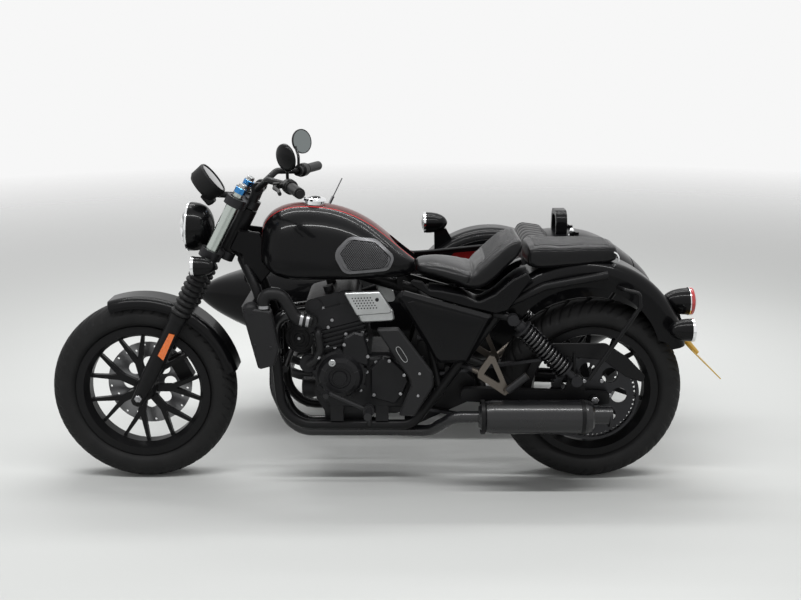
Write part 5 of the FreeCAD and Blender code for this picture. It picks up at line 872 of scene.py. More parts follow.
# %% Ring, cup and lens
def lamp_face(name, rim, look, radius, rise, lens, body):
    """A ring round the rim, a cup just inside it and a lens that bulges by a rise."""
    r = radius
    ring_rows = [(-6, r + 0.3), (1, r + 1.4), (4, r + 0.6), (5, r - 2), (3, r - 4.5), (0.3, r - 4.5)]
    turned(f"{name}_ring", rim, look, ring_rows, chrome, body, loop=True)
    cup_rows = [(0.2, r - 4.4), (0.6, r * 0.6), (1.2, r * 0.3), (1.2, 0)]
    turned(f"{name}_cup", rim, look, cup_rows, lamp_cup, body, 40)
    steps = np.linspace(0, 1, 9)
    dome = [(2 + rise * (1 - s * s), (r - 4.2) * s) for s in steps[::-1]]
    turned(f"{name}_lens", rim, look, [(1.4, 0), (1.4, r - 4.2), *dome], lens, body, 40)


lamp_cup = Finish("lamp_cup", (0.62, 0.62, 0.60), 0.22, metal=0.9).material
smoked = Finish("smoked_lens", (0.30, 0.30, 0.31), 0.06)
smoked.set("Transmission Weight", 0.9)
smoked.set("IOR", 1.45)
smoked_lens = smoked.material
SIGNAL_R = 33.0
REAR_SIGNAL_R = 38.0
TAIL_R = 47.0
MARKER_R = 46.0
signal = on_fork(790) + (8, -FORK_HALF - 65, 0)
for side, label in ((1, "left"), (-1, "right")):
    place = signal * (1, side, 1) - (2.3 * SIGNAL_R / 2, 0, 0)
    lamp_face(f"front_signal_{label}", place, (-1, 0, 0), SIGNAL_R, 9.0, smoked_lens, "steering")
    place = np.array([276 + 1.05 * REAR_SIGNAL_R, -150.0 * side, 570.0])
    lamp_face(f"rear_signal_{label}", place, (1, 0, 0), REAR_SIGNAL_R, 9.0, amber_lens, "machine")
tail_look = unit((1, 0, 0.02))
tail_rim = np.array([294.0, 0, 632.0]) + tail_look * 1.1 * TAIL_R
steps = np.linspace(1, 0, 9)
lens_rows = [(-9, 0), (-9, TAIL_R + 0.4), (-8, TAIL_R + 1.6), (1, TAIL_R + 1.6), (3, TAIL_R + 0.6)]
lens_rows += [(4 + 11 * (1 - s * s), (TAIL_R - 1.0) * s) for s in steps]
turned("tail_lens", tail_rim, tail_look, lens_rows, red_lens, "machine", 56)
ring_rows = [(-12, TAIL_R + 0.4), (-12, TAIL_R + 2), (-9, TAIL_R + 2), (-9, TAIL_R + 0.4)]
turned("tail_ring", tail_rim, tail_look, ring_rows, chrome, "machine", 56, loop=True)
marker_rim = (-505 - 1.1 * MARKER_R, 1100, 725)
lamp_face("marker_lamp", marker_rim, (-1, 0, 0), MARKER_R, 12.0, smoked_lens, "machine")

# %% Headlamp: bezel, faceted bowl, and the projector in its middle
LAMP_DEPTH = 84.0
lamp_middle = on_steering(896) - (173, 0, 0)
lamp_look = unit((-1, 0, 0.05))
lamp_back = lamp_middle - lamp_look * LAMP_DEPTH
bezel_rows = [(81, 83.1), (82, 84.8), (87, 84.4), (89, 81), (87, 77.3), (82, 77.6)]
turned("headlamp_bezel", lamp_back, lamp_look, bezel_rows, chrome, "steering", 72, loop=True)
FACETS = 24
BOWL_R = 74.0
axis, first, second = across(lamp_look)
turn = np.linspace(0, 2 * math.pi, FACETS * 6, endpoint=False)
radius = np.linspace(14, BOWL_R, 14)
flute = 1.5 * np.abs(np.sin(FACETS / 2 * turn))[None, :] * (radius / BOWL_R)[:, None]
along = 15 + 58 * (radius[:, None] / BOWL_R) ** 2 - flute
ring = np.cos(turn)[:, None] * first + np.sin(turn)[:, None] * second
bowl = lamp_back + along[..., None] * axis + radius[:, None, None] * ring
piece("headlamp_bowl", bowl, grid_faces(len(radius), len(turn)), chrome, "steering", 20.0)
lens_rows = [(16, 0), (16, 24), (40, 26), (44, 24), (44, 21), (52, 17), (58, 9), (60, 0)]
turned("headlamp_projector", lamp_back, lamp_look, lens_rows, smoked_lens, "steering", 40)
ring_rows = [(38, 26.5), (45, 27.5), (46, 22), (42, 21.5)]
turned("headlamp_projector_ring", lamp_back, lamp_look, ring_rows, dark_alloy, "steering", 40, loop=True)

# %% Dash dial
dash_face = unit((0.79, 0, 0.61))
dash_middle = on_steering(UPPER_YOKE) - BACK * 163 - UP * 7
dash_back = dash_middle - dash_face * 30
ring_rows = [(55, 52.2), (60.6, 53), (61.6, 56), (59, 58), (56.5, 53.5)]
turned("dash_ring", dash_back, dash_face, ring_rows, gloss_black, "steering", 64, loop=True)
dial = Finish("dial_glass", (0.010, 0.012, 0.016), 0.05, coat=1.0)
dial_rows = [(56.2, 52.4), (58.2, 52.0), (58.8, 40), (59.2, 0)]
turned("dash_dial", dash_back, dash_face, dial_rows, dial.material, "steering", 64)

# %% Mirror glass
clamp = on_steering(UPPER_YOKE) + UP * 62
bar_end = np.array([clamp[0] + 170, 370.0, 1060.0])
bar_along = unit((52, 170, -2))
mirror_foot = bar_end - bar_along * (127 + 57)
mirror_head = mirror_foot + (4, 84, 18.3 + 78)
mirror_look = unit((0.70, -0.68, 0.16))
for side, label in ((1, "right"), (-1, "left")):
    head, look = mirror_head * (1, side, 1), mirror_look * (1, side, 1)
    glass_rows = [(3.2, 41), (4.6, 40.5), (4.9, 0)]
    turned(f"mirror_glass_{label}", head, look, glass_rows, mirror_glass, "steering", 56)
    rim_rows = [(1, 43.9), (5, 44.2), (6.2, 42.6), (5, 40.6), (3, 41)]
    turned(f"mirror_rim_{label}", head, look, rim_rows, black_rubber, "steering", 56, loop=True)

# %% [markdown]
# ## Fork, reflectors and clamps
# Small coloured parts carry much of the likeness: the blue adjusters on the fork tops, the
# orange reflectors on the sliders, and the steel bands round the coolant hose.

# %% Fork adjusters
FORK_TOP = 1005
for side, label in SIDES:
    top = on_fork(FORK_TOP, side * FORK_HALF)
    collar_rows = [(21, 17.6), (21, 19.4), (38, 19.4), (40, 17.8), (38, 17.4)]
    turned(f"fork_collar_{label}", top, UP, collar_rows, blue_anodised, "steering", 36, loop=True)
    knob_rows = [(40, 13.6), (52, 13.2), (54, 11.5), (54, 5), (51, 4.6), (51, 0)]
    turned(f"fork_knob_{label}", top, UP, knob_rows, alloy, "steering", 24)

# %% Slider reflectors
reflector = Finish("orange_reflector", (0.80, 0.16, 0.01), 0.18, coat=1.0)
reflector.emboss(reflector.cells(300.0), 0.4, 0.001)
STRIP = [(-1484, 475), (-1466, 457), (-1424, 546), (-1442, 552)]
for side, label in SIDES:
    levels = [(side * y, share) for y, share in ((126, 0.0), (126, 1.0), (132, 1.0), (132, 0.0))]
    plate(f"reflector_{label}", STRIP, levels, reflector.material, "steering", 38.0)

# %% Hose bands
for k, (place, look, radius) in enumerate(
    (
        ((-1118, -152, 652), (0, 0, 1), 21.6),
        ((-992, -152, 607), (1, 0, -0.2), 21.6),
        ((-972, -152, 602), (1, 0, -0.2), 21.6),
        ((-938, -148, 552), (0.1, 0, -1), 13.0),
        ((-940, -150, 478), (-0.4, 0, -1), 13.0),
    )
):
    band_rows = [(-5, radius), (-5, radius + 1.2), (5, radius + 1.2), (5, radius)]
    turned(f"hose_band_{k}", place, look, band_rows, bare_steel, "machine", 32, loop=True)

# %% [markdown]
# ## Panels beside the engine
# The silver cover has a field of small holes and one round hole for its bolt. The dark plate
# behind it carries a long oval ring and two bolts. Dark discs just proud of the silver stand for the
# holes at this size. Their black is painted shade, the dark seen through a hole, and needs no
# cutting of the frame's own part.

# %% Silver cover's holes, shown as discs of painted shade
HOLE_ROWS = 5
HOLE_COLUMNS = 7
hole_field = [
    (-822 + 5 * a + 10.0 * b, 680 - 8.6 * a + 0.4 * b) for a in range(HOLE_ROWS) for b in range(HOLE_COLUMNS)
]
cover_skin = skin("intake_covers", "sprocket_trim", "side_panels")
hole_rows = [(-0.5, 3.1), (0.25, 3.1), (0.35, 0)]
hole_seats = side_seats(cover_skin, hole_field)
# Matt black discs of painted shade, placed where the dark inside the cover's holes would show
scattered("cover_hole_shade", hole_seats, (0, -1, 0), hole_rows, 4, matt_black, "machine", math.pi / 4)
bolts("cover_bolt", side_seats(cover_skin, [(-740, 676)]), (0, -1, 0), 6.5, 3.0, dark_alloy)
bolts("trim_bolts", side_seats(cover_skin, [(-598, 428), (-603, 350)]), (0, -1, 0), 4.5, 2.5, bare_steel)
TRIM_FACE = -186.2
OVAL_STEPS = 48
turn = np.linspace(0, 2 * math.pi, OVAL_STEPS, endpoint=False)
long, short = 30 * signed_power(np.cos(turn), 0.5), 8.5 * signed_power(np.sin(turn), 0.8)
slope = unit((39, -64))
flat = np.array([-658.0, 495.0]) + long[:, None] * slope + short[:, None] * np.array([-slope[1], slope[0]])
oval = np.column_stack([flat[:, 0], np.full(OVAL_STEPS, TRIM_FACE), flat[:, 1]])
tube("trim_oval", oval, (0, 1, 0), 1.1, alloy, "machine", 8, closed=True)

# %% [markdown]
# ## Tank badges
# Each badge is a dark field under a lattice of thin wires, inside the rim that the frame already
# has. Field and wires are laid on the badge by casting lines at it, so that they follow the
# tank's curve, and stand a millimetre or less off it so that nothing flickers.

# %% Wire lattice in the tank badges
BADGE_SHAPE = (
    (244, 832), (262, 858), (284, 876), (304, 883), (388, 869), (420, 845),
    (446, 814), (446, 796), (434, 774), (416, 768), (296, 764), (276, 772),
)
DRAWN_START = 244
DRAWN_WIDTH = 206.0
FIELD_SHARE = 0.84
badge_low, badge_high = (np.array(corner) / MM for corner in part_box("tank_badges"))
drawn_scale = (badge_high[0] - badge_low[0]) / DRAWN_WIDTH
badge_outline = np.array([(badge_low[0] + (x - DRAWN_START) * drawn_scale, z) for x, z in BADGE_SHAPE])
badge_centre = badge_outline.mean(0)
badge_field = badge_centre + (badge_outline - badge_centre) * FIELD_SHARE
WIRE_PITCH = 5.6
WIRE_STEP = 4.0
WIRE_REACH = 130
WIRE_COUNT = 26
FIELD_STEPS = 96
FIELD_RINGS = 18
WIRE_LEAN = math.radians(52)
badge_skin = skin("tank_badges")


def inside(point, outline):
    """Whether a point lies on the same side of every edge of a convex outline."""
    before = np.roll(outline, 1, axis=0)
    (ex, ez), (px, pz) = (outline - before).T, (point - before).T
    turns = ex * pz - ez * px
    return turns.max() < 0 or turns.min() > 0


def lattice(flip):
    """Straight wires at two slants, each laid on the badge by casting lines at it."""
    parts = []
    centre = badge_field.mean(0)
    steps = np.arange(-WIRE_REACH, WIRE_REACH + 1, WIRE_STEP)
    for lean in (WIRE_LEAN, -WIRE_LEAN):
        along = np.array([math.cos(lean), math.sin(lean)])
        aside = np.array([-along[1], along[0]])
        for k in range(-WIRE_COUNT, WIRE_COUNT + 1):
            line = [centre + aside * k * WIRE_PITCH + along * s for s in steps]
            seats = side_seats(badge_skin, [p for p in line if inside(p, badge_field)], -flip)
            if len(seats) >= 3:
                wire = np.array(seats) - (0, 1.0 * flip, 0)
                parts.append((tube_points(wire, (0, 1, 0), 0.85, 5), grid_faces(len(wire), 5)))
    return parts


def field_sheet(flip):
    """The dark field under the wires: rings of points drawn in to its middle and laid on the badge."""
    outline = evenly(badge_field, FIELD_STEPS)
    shares = np.linspace(1.0, 0.0, FIELD_RINGS)
    flats = [badge_centre + (outline - badge_centre) * share for share in shares]
    rings = np.array([side_seats(badge_skin, flat, -flip) for flat in flats]) - (0, 0.6 * flip, 0)
    return np.concatenate([rings[:1] + (0, 1.4 * flip, 0), rings])


for flip, label in ((1, "left"), (-1, "right")):
    sheet = field_sheet(flip)
    piece(f"badge_field_{label}", sheet, grid_faces(*sheet.shape[:2]), matt_black, "machine")
    piece(f"badge_wires_{label}", *joined(lattice(flip)), badge_grey, "machine")

# %% [markdown]
# ## Side covers and muffler
# The side covers have a slightly raised field with a soft edge, and the muffler two bands and a
# rolled lip round its outlet. All of them are thin, so they are laid on the frame's own parts.

# %% Raised fields of the side covers
COVER_FIELD = (
    (-640, 668), (-620, 674), (-392, 612), (-384, 598), (-440, 478), (-456, 468), (-530, 468), (-542, 478),
)
FIELD_LEVELS = ((162.5, 1.0), (164.2, 0.985), (164.6, 0.96), (164.9, 0.5), (165.0, 0.0))
for side, label in SIDES:
    levels = [(side * y, share) for y, share in FIELD_LEVELS]
    plate(f"side_cover_field_{label}", COVER_FIELD, levels, gloss_black, "machine", 12.0)

# %% Muffler bands and lip
MUFFLER = (-205, 282)
for k, (x, radius) in enumerate(((-386, 56.6), (-52, 56.8))):
    band_rows = [(-7, radius), (-6, radius + 1.8), (6, radius + 1.8), (7, radius)]
    turned(f"muffler_band_{k}", (x, *MUFFLER), (1, 0, 0), band_rows, satin_black, "machine", 64, loop=True)
lip_rows = [(-4, 32.2), (-3, 34.4), (5, 34.6), (7.4, 33), (7.4, 29), (-4, 29)]
turned("muffler_lip", (40, *MUFFLER), (1, 0, 0), lip_rows, dark_steel, "machine", loop=True)

# %% [markdown]
# ## The sidecar's skin
# The body's sections are squared ovals. The same formula that shapes them gives the height of
# the deck anywhere, so the beading round the cockpit, the lining under it, and the strip and the
# cap on the tail can follow the body without being fitted by hand.

# %% Body formula
TUB_FRONT = 1485.0
TUB_LENGTH = 1830.0
TUB_CENTRE = 682.0
TUB_HALF = 278.0
SQUARENESS = 2.7
STATIONS = np.array([
    (0.0, 0.05, 512, 488), (0.02, 0.16, 545, 455), (0.08, 0.38, 590, 392), (0.20, 0.70, 656, 310),
    (0.36, 0.94, 692, 262), (0.52, 1.00, 704, 245), (0.70, 1.00, 740, 245), (0.82, 0.94, 764, 268),
    (0.90, 0.80, 728, 322), (0.955, 0.60, 662, 400), (0.985, 0.40, 612, 452), (1.0, 0.22, 575, 490),
])
slopes = np.gradient(STATIONS, STATIONS[:, 0], axis=0)


def section(x, inset=0.0):
    """Half width, middle height, rise and drop of the body's section at x."""
    share = (np.asarray(x, float) + TUB_FRONT) / TUB_LENGTH
    t = STATIONS[:, 0]
    i = np.clip(np.searchsorted(t, share, side="right") - 1, 0, len(t) - 2)
    h = t[i + 1] - t[i]
    s = (share - t[i]) / h
    cubic = [
        (2 * s**3 - 3 * s**2 + 1) * STATIONS[i, k]
        + (s**3 - 2 * s**2 + s) * h * slopes[i, k]
        + (3 * s**2 - 2 * s**3) * STATIONS[i + 1, k]
        + (s**3 - s**2) * h * slopes[i + 1, k]
        for k in (1, 2, 3)
    ]
    middle = (cubic[1] + cubic[2]) / 2 + (cubic[1] - cubic[2]) * 0.05
    return cubic[0] * TUB_HALF - inset, middle, cubic[1] - inset - middle, middle - cubic[2] - inset


def deck(x, y):
    """Height of the body's upper skin: middle + rise * (1 - |y / half| ** n) ** (1 / n)."""
    half, middle, rise, _ = section(x)
    share = np.clip(np.abs((np.asarray(y) - TUB_CENTRE) / half), 0.0, 0.999)
    return middle + rise * (1 - share**SQUARENESS) ** (1 / SQUARENESS)


# %% Cockpit beading
FRONT_EDGE = -TUB_FRONT + 0.434 * TUB_LENGTH
BACK_EDGE = -TUB_FRONT + 0.766 * TUB_LENGTH
EDGE_HALF = TUB_HALF - 38.0
EDGE_CORNER = 90.0


def rounded_plan(x0, x1, y0, y1, corner, count):
    """200 even points round a rectangle with round corners, seen from above."""
    turn = np.linspace(0, 2 * math.pi, 4 * count, endpoint=False) + math.pi / (4 * count)
    centre_x = np.where(np.cos(turn) > 0, x1 - corner, x0 + corner)
    centre_y = np.where(np.sin(turn) > 0, y1 - corner, y0 + corner)
    corners = np.column_stack([centre_x + corner * np.cos(turn), centre_y + corner * np.sin(turn)])
    return evenly(corners, 200)


near, far = TUB_CENTRE - EDGE_HALF, TUB_CENTRE + EDGE_HALF
plan = rounded_plan(FRONT_EDGE, BACK_EDGE, near, far, EDGE_CORNER, 24)
edge = np.column_stack([plan, deck(plan[:, 0], plan[:, 1]) - 3.0])
tube("cockpit_beading", edge, (0, 0, 1), 6.5, black_rubber, "machine", 12, closed=True)

# %% Lining along the inner walls, the far one black ahead of a slanted line
PANEL_FRONT = -0.446
PANEL_LEAN = 0.9
PANEL_LOW = 0.607
lining_finish = Finish("lining_cloth", (0.30, 0.012, 0.014), 0.75, specular=0.2)
lining_axes = lining_finish.axes()
leaning = lining_finish.math("MULTIPLY_ADD", lining_axes["Z"], -PANEL_LEAN, lining_axes["X"])
red_part = within(lining_finish, leaning, PANEL_FRONT - PANEL_LEAN * PANEL_LOW, 9.0)
lining_finish.paint("Base Color", lining_finish.blend(red_part, (0.010, 0.010, 0.011), (0.36, 0.016, 0.018)))
lining_finish.emboss(lining_finish.noise(1200.0, 2.0), 0.3, 0.0006)
lining_cloth = lining_finish.material
LINING_INSET = 12.5
lining_x = np.linspace(FRONT_EDGE - 60, BACK_EDGE - 4, 46)
half, middle, rise, drop = section(lining_x, LINING_INSET)
top_turn = np.arccos(np.clip((EDGE_HALF / half), 0, 1) ** (SQUARENESS / 2))
for side, label in ((1, "far"), (-1, "near")):
    turn = top_turn[:, None] * np.linspace(1.0, -1.4, 22)[None, :]
    s, c = np.sin(turn), np.cos(turn)
    y = TUB_CENTRE + side * half[:, None] * np.abs(c) ** (2 / SQUARENESS)
    reach = np.where(s > 0, rise[:, None], drop[:, None])
    z = middle[:, None] + reach * signed_power(s, 2 / SQUARENESS)
    outer = np.stack([np.broadcast_to(lining_x[:, None], y.shape), y, z], -1)
    inner = outer - np.array([0, side * 2.5, 0])
    points = np.concatenate([outer, inner[:, ::-1]], axis=1)
    cloth = lining_cloth if side > 0 else red_cloth
    piece(f"cockpit_lining_{label}", points, grid_faces(len(points), points.shape[1]), cloth, "machine", 60.0)

# %% Strip beside the boot's opening, cap on the tail's end and the boot's knob
STRIP = [(96, 514), (160, 518), (220, 521), (250, 528), (275, 545), (300, 566)]
flat = smooth_curve(STRIP, 40)
strip_path = np.column_stack([flat, deck(*flat.T) + 0.6])
tube("tail_strip", strip_path, (0, 0, 1), 2.6, chrome, "machine", 8)
TAIL_END = TUB_LENGTH - TUB_FRONT
CAP_STEPS = 64
# Each ring of the cap: its place behind the tail's end, its inset and its share of the section
CAP_ROWS = (
    (-4, 3.4, 1), (0.4, 3.2, 1), (0.5, 0.6, 1), (1.6, 0.8, 1),
    (2.6, 2.2, 1), (3.4, 0, 0.7), (4.0, 0, 0.3), (4.2, 0, 0),
)
turn = np.linspace(0, 2 * math.pi, CAP_STEPS, endpoint=False)
wide, high = (signed_power(value, 2 / SQUARENESS) for value in (np.cos(turn), np.sin(turn)))
cap = []
for out, inset, share in CAP_ROWS:
    half, middle, rise, drop = section(TAIL_END, inset)
    z = middle + np.where(high > 0, rise, drop) * high * share
    cap.append(np.column_stack([np.full(CAP_STEPS, TAIL_END + out), TUB_CENTRE + half * wide * share, z]))
piece("tail_cap", np.stack(cap), grid_faces(len(cap), CAP_STEPS), satin_black, "machine", 30.0)
KNOB = (16.0, 600.0)
knob_rows = [(-4, 0), (-4, 14), (3, 13), (7, 9), (14, 11), (22, 9), (27, 4), (28, 0)]
turned("boot_knob", (*KNOB, float(deck(*KNOB))), (0.1, 0, 1), knob_rows, chrome, "machine", 32)

# %% [markdown]
# ## Body deck, horn and pivot plates
# Under the saddle's raised back the bodywork turns in from the rail cover as a glossy shelf. A
# horn hangs between radiator and engine, and pressed plates carry the swingarm's pivot. All
# three close gaps through which a bare model would show daylight.

# %% Shelf between the rail covers and the seat
RAIL_EDGE = (
    (-566, 705), (-524, 700), (-470, 692), (-430, 674), (-402, 663), (-370, 676),
    (-346, 690), (-318, 716), (-292, 738), (-262, 757), (-240, 765),
)
SHELF_OUT = 124.0
SHELF_WIDTH = 74.0
SHELF_RISE = 9.0
edge = smooth_curve(RAIL_EDGE, 48)
shares = np.linspace(0.0, 1.0, 10)
for side, label in SIDES:
    y = side * (SHELF_OUT - SHELF_WIDTH * shares)
    z = edge[:, 1:2] - 3.0 + SHELF_RISE * np.sin(shares * math.pi / 2)[None, :]
    top = np.stack([np.broadcast_to(edge[:, :1], z.shape), np.broadcast_to(y, z.shape), z], -1)
    both = np.concatenate([top, top[:, ::-1] - (0, 0, 2.5)], axis=1)
    piece(f"seat_shelf_{label}", both, grid_faces(len(both), both.shape[1]), gloss_black, "machine", 60.0)

# %% Horn with its pressed rings
horn_rows = [
    (-24, 0), (-24, 12), (-18, 14), (-14, 40), (-2, 48), (2, 51), (5, 51), (6, 47),
    (3, 44), (3, 38), (6, 35), (6, 30), (3, 27), (3, 20), (7, 16), (8, 0),
]
turned("horn", (-1006, -84, 524), (-0.25, -1, 0), horn_rows, matt_black, "machine", 60)
bolts("horn_bolt", [(-1008, -91.5, 524)], (-0.25, -1, 0), 5.5, 3.0, bare_steel)

# %% Screws of the radiator shroud
shroud_seats = side_seats(skin("radiator"), [(-1178, 640), (-1148, 524), (-1096, 516)])
bolts("shroud_screws", shroud_seats, (0, -1, 0), 4.6, 2.4, dark_steel)

# %% Swingarm pivot plates
PIVOT_PLATE = (
    (-612, 560), (-560, 556), (-532, 520), (-526, 452), (-548, 392),
    (-586, 352), (-626, 356), (-640, 420), (-628, 500),
)
PIVOT_LEVELS = ((88, 0.0), (88, 1.0), (94, 1.0), (96, 0.95), (96, 0.62), (93, 0.58), (93, 0.0))
PIVOT_BOLTS = ((-584, 93, 455), (-600, 95.5, 530), (-600, 95.5, 380))
for side, label in SIDES:
    levels = [(side * y, share) for y, share in PIVOT_LEVELS]
    plate(f"pivot_plate_{label}", PIVOT_PLATE, levels, satin_black, "machine", 25.0)
    places = [(x, side * y, z) for x, y, z in PIVOT_BOLTS]
    bolts(f"pivot_bolts_{label}", places, (0, side, 0), 8.0, 5.0, dark_steel)

# %% [markdown]
# ## Upholstery
# Leather over foam is tight at its seams and full between them. Each pad starts as a closed form
# a little smaller than the real one, is remeshed evenly, and is blown up by a short cloth
# simulation, so that it swells as stuffing does. The swelling is averaged over neighbouring
# points, as foam carries a load sideways. The sewn channels are pressed in last, because a
# remesh would rub them out.


# %% Puffing a pad
def coordinates(obj):
    co = np.zeros(len(obj.data.vertices) * 3)
    obj.data.vertices.foreach_get("co", co)
    return co.reshape(-1, 3)


def place_points(obj, co):
    obj.data.vertices.foreach_set("co", co.ravel())
    obj.data.update()


def normals_of(obj):
    flat = np.zeros(len(obj.data.vertices) * 3)
    obj.data.vertex_normals.foreach_get("vector", flat)
    return flat.reshape(-1, 3)


def move_along_normals(obj, distance):
    """Moves each point along its normal by a distance in millimetres, one or one for each point."""
    place_points(obj, coordinates(obj) + normals_of(obj) * np.reshape(distance, (-1, 1)) * MM)


def averaged(obj, value, rounds):
    """Each point's value becomes the mean of its neighbours' and its own, several times over."""
    pairs = np.zeros(len(obj.data.edges) * 2, int)
    obj.data.edges.foreach_get("vertices", pairs)
    a, b = pairs.reshape(-1, 2).T
    count = 1.0 + np.bincount(a, minlength=len(value)) + np.bincount(b, minlength=len(value))
    for _ in range(rounds):
        near = np.bincount(a, value[b], len(value)) + np.bincount(b, value[a], len(value))
        value = (value + near) / count
    return value


def bake(obj):
    """Replaces the mesh by what its modifiers make of it."""
    graph = bpy.context.evaluated_depsgraph_get()
    made = bpy.data.meshes.new_from_object(obj.evaluated_get(graph), depsgraph=graph)
    obj.modifiers.clear()
    obj.data = made


def puffed(pad, node, voxel, swell, press):
    """Remeshes and inflates a form, then presses its sewn channels in. It stands for a node."""
    remesh = pad.modifiers.new("even", "REMESH")
    remesh.mode = "VOXEL"
    remesh.voxel_size = voxel * MM
    bake(pad)
    rest = coordinates(pad)
    normal = normals_of(pad)
    cloth = pad.modifiers.new("stuffing", "CLOTH")
    cloth.settings.use_pressure = True
    cloth.settings.uniform_pressure_force = 4.0
    cloth.settings.effector_weights.gravity = 0.0
    cloth.settings.quality = 5
    cloth.collision_settings.use_collision = False
    cloth.point_cache.frame_end = 20
    for step in range(1, 21):
        scene.frame_set(step)
    bake(pad)
    risen = np.sum((coordinates(pad) - rest) * normal, axis=1)
    risen = averaged(pad, np.clip(risen, 0.0, swell * MM), 12)
    place_points(pad, rest + normal * risen[:, None])
    scene.frame_set(1)
    smooth = pad.modifiers.new("smooth", "SUBSURF")
    smooth.levels = smooth.render_levels = 1
    bake(pad)
    move_along_normals(pad, -press(coordinates(pad) / MM, normals_of(pad)))
    pad.data.materials.clear()
    pad.data.materials.append(seat_leather)
    pad.data.shade_smooth()
    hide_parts(node)
    low, high = coordinates(pad).min(0) / MM, coordinates(pad).max(0) / MM
    print(pad.name, "faces", len(pad.data.polygons), "from", low.round(), "to", high.round())


def channel(value, width):
    """1 on a seam where value is 0, falling smoothly to 0 at a width."""
    return np.clip(1.0 - np.abs(value) / width, 0.0, 1.0) ** 2


def spine_form(stations, count, sides=72):
    """Squared ovals across a curved spine. Rows: x, z, half width, up, down, squareness."""
    rows = smooth_curve(np.array(stations, float), count)
    spine = np.column_stack([rows[:, 0], np.zeros(count), rows[:, 1]])
    ahead = np.gradient(spine, axis=0)
    ahead /= np.linalg.norm(ahead, axis=1, keepdims=True)
    up = np.column_stack([-ahead[:, 2], np.zeros(count), ahead[:, 0]])
    turn = np.linspace(0, 2 * math.pi, sides, endpoint=False)
    power = 2.0 / rows[:, 5:6]
    c, s = np.cos(turn)[None, :], np.sin(turn)[None, :]
    wide = rows[:, 2:3] * signed_power(c, power)
    high = np.where(s > 0, rows[:, 3:4], rows[:, 4:5]) * signed_power(s, power)
    points = spine[:, None] + high[..., None] * up[:, None] + wide[..., None] * np.array([0.0, 1.0, 0.0])
    ends = [np.repeat(spine[k][None, None], sides, axis=1) for k in (0, -1)]
    return np.concatenate([ends[0], points, ends[1]])


# %% Saddle
SADDLE = (
    (-611, 764, 50, 12, 12, 2.4),
    (-603, 763, 66, 21, 18, 2.4),
    (-575, 760, 88, 29, 25, 2.5),
    (-520, 753, 114, 31, 29, 2.6),
    (-470, 744, 131, 30, 33, 2.8),
    (-436, 738, 139, 27, 40, 3.2),
    (-408, 741, 141, 29, 43, 3.6),
    (-378, 760, 142, 33, 41, 4.0),
    (-330, 803, 141, 34, 36, 4.2),
    (-290, 839, 138, 32, 30, 4.2),
    (-270, 857, 130, 22, 20, 3.6),
    (-262, 864, 116, 10, 10, 3.0),
)
CREASE = (-430.0, 748.0, 0.42)
PANEL_HALF = 104.0
RIB_PITCH = 15.0
BACK_FACE = np.array([-0.68, 0.0, 0.73])


def saddle_press(co, normal):
    """A crease between the seat and its raised back, whose panel has ribs inside a sewn border."""
    x, y, z = co.T
    behind = (x - CREASE[0]) - CREASE[2] * (z - CREASE[1])
    crease = channel(behind, 11.0) * (normal[:, 2] > -0.3)
    facing = np.clip((normal @ BACK_FACE - 0.45) / 0.3, 0.0, 1.0) * np.clip((behind - 8.0) / 8.0, 0.0, 1.0)
    rib = (0.5 + 0.5 * np.cos(2 * math.pi * y / RIB_PITCH)) ** 2
    border = channel(np.abs(y) - PANEL_HALF, 4.5)
    low_border = channel(behind - 22.0, 4.0) * (np.abs(y) < PANEL_HALF)
    inside_panel = (np.abs(y) < PANEL_HALF - 5.0) * (behind > 26.0)
    return 6.5 * crease + facing * (2.3 * rib * inside_panel + 3.0 * border + 2.2 * low_border)


form = spine_form(SADDLE, 90)
saddle_pad = piece("saddle_pad", form, grid_faces(len(form), form.shape[1]), seat_leather, "machine")
puffed(saddle_pad, "solo_seat", 4.2, 3.0, saddle_press)

# %% Pillion pad
PILLION = (
    (-235, 806, 92, 24, 26, 4.0),
    (-231, 806, 104, 33, 34, 4.6),
    (-216, 807, 110, 37, 38, 5.0),
    (-120, 809, 110, 37, 38, 5.0),
    (-10, 812, 100, 35, 33, 5.0),
    (38, 813, 92, 32, 29, 4.6),
    (62, 813, 80, 26, 23, 4.2),
    (70, 813, 66, 16, 15, 3.6),
)
PILLION_RIBS = 86.0
PLEAT_PITCH = 17.0


def pillion_press(co, normal):
    """Fine ribs from front to back on the top, inside a sewn border, and a seam up each front corner."""
    x, y, z = co.T
    top = np.clip((normal[:, 2] - 0.55) / 0.25, 0.0, 1.0)
    rib = (0.5 + 0.5 * np.cos(2 * math.pi * y / PLEAT_PITCH)) ** 2
    narrowing = PILLION_RIBS - 0.09 * np.clip(x + 120, 0, None)
    inside_panel = (np.abs(y) < narrowing - 5) * (x > -212) * (x < 42)
    border = channel(np.abs(y) - narrowing, 4.5) * (x > -216) * (x < 46)
    ends = np.maximum(channel(x + 214, 4.5), channel(x - 44, 4.5)) * (np.abs(y) < narrowing)
    edge = channel(normal[:, 2] - 0.40, 0.14) * (z > 822)
    corner = channel(np.abs(y) - 104.0, 4.0) * (x < -224)
    return top * (2.4 * rib * inside_panel + 2.8 * border + 2.4 * ends) + 1.4 * edge + 1.8 * corner


form = spine_form(PILLION, 80)
pillion_pad = piece("pillion_pad", form, grid_faces(len(form), form.shape[1]), seat_leather, "machine")
puffed(pillion_pad, "pillion_seat", 4.0, 2.2, pillion_press)

# %% Sidecar seat
bench = bpy.data.objects.new("sidecar_cushions", NODES["sidecar_seat"].data.copy())
scene.collection.objects.link(bench)
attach(bench, "machine")
work = bmesh.new()
work.from_mesh(bench.data)
bmesh.ops.remove_doubles(work, verts=work.verts, dist=1e-5)
bmesh.ops.recalc_face_normals(work, faces=work.faces)
work.to_mesh(bench.data)
work.free()
move_along_normals(bench, -2.5)
BENCH_RIB = 56.0


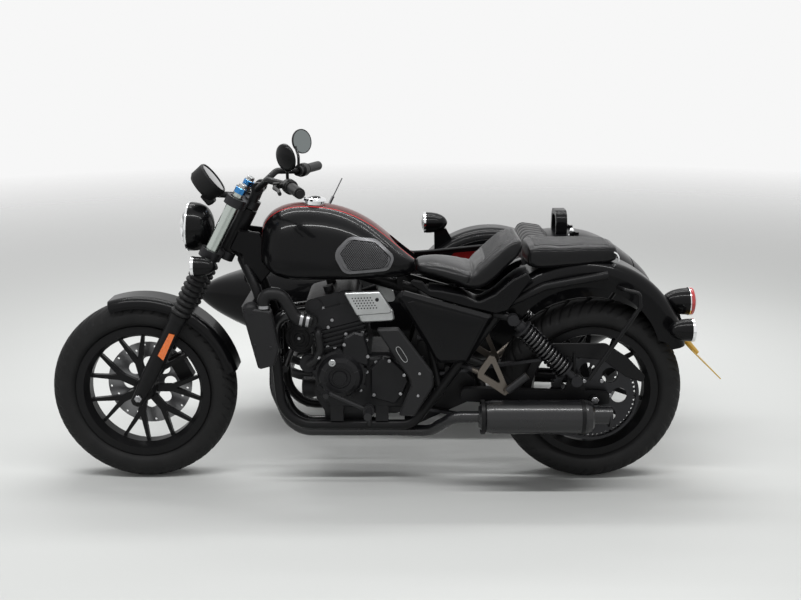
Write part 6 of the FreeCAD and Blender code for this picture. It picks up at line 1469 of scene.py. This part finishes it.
def bench_press(co, normal):
    """Broad rolls that run down the backrest's front and over its top, and along the cushion."""
    aside = co[:, 1] - TUB_CENTRE
    facing = np.clip((np.maximum(-normal[:, 0], normal[:, 2]) - 0.25) / 0.3, 0.0, 1.0)
    roll = np.abs(np.sin(math.pi * aside / BENCH_RIB)) ** 0.5
    return facing * (5.0 * (1.0 - roll) * (np.abs(aside) < 170) + 2.4 * channel(np.abs(aside) - 176, 5.0))


puffed(bench, "sidecar_seat", 6.9, 4.0, bench_press)

# %% Stitches along the seat's borders and a clip at the pillion pad's end
STITCH = 4.6
THREAD_RADII = np.array([0.1, 1.0, 1.0, 0.1]) * 0.75
BACK_SLOPE = 0.88
BACK_FOOT = 1146.0
OFF_THE_BACK = np.array([-270.0, 0.0, 290.0])
thread = Finish("thread", (0.16, 0.16, 0.165), 0.5).material


def stitches(name, tree, starts, look):
    """Short threads laid one behind the other on a pad, where lines along a direction meet it."""
    seats = np.array(seats_from(tree, starts, look))
    run = run_of(seats)
    parts = []
    for start in np.arange(2.0, run[-1] - STITCH, STITCH * 1.7):
        at = start + np.array([0.0, 0.2, 0.8, 1.0]) * STITCH
        path = np.column_stack([np.interp(at, run, seats[:, k]) for k in range(3)])
        parts.append((tube_points(path, (0, 0, 1), THREAD_RADII, 4), grid_faces(4, 4)))
    piece(name, *joined(parts), thread, "machine")


graph = bpy.context.evaluated_depsgraph_get()
saddle_tree = BVHTree.FromObject(saddle_pad, graph)
pillion_tree = BVHTree.FromObject(pillion_pad, graph)
for side, label in SIDES:
    for row, offset in enumerate((-7.0, 6.5)):
        y = side * (PANEL_HALF + offset)
        line = [OFF_THE_BACK + (x, y, x * BACK_SLOPE + BACK_FOOT) for x in np.linspace(-408, -286, 60)]
        stitches(f"saddle_stitches_{label}_{row}", saddle_tree, line, (0.68, 0.0, -0.73))
    line = [
        (x, side * (PILLION_RIBS + 6.5 - 0.09 * max(x + 120, 0)), 1100.0) for x in np.linspace(-206, 40, 80)
    ]
    stitches(f"pillion_stitches_{label}", pillion_tree, line, (0.0, 0.0, -1.0))
clip = [(52, -93, 824), (62, -92, 818), (69, -91, 806), (70, -91, 792)]
tube("pillion_clip", smooth_curve(clip, 16), (0, 1, 0), 2.6, chrome, "machine", 8)
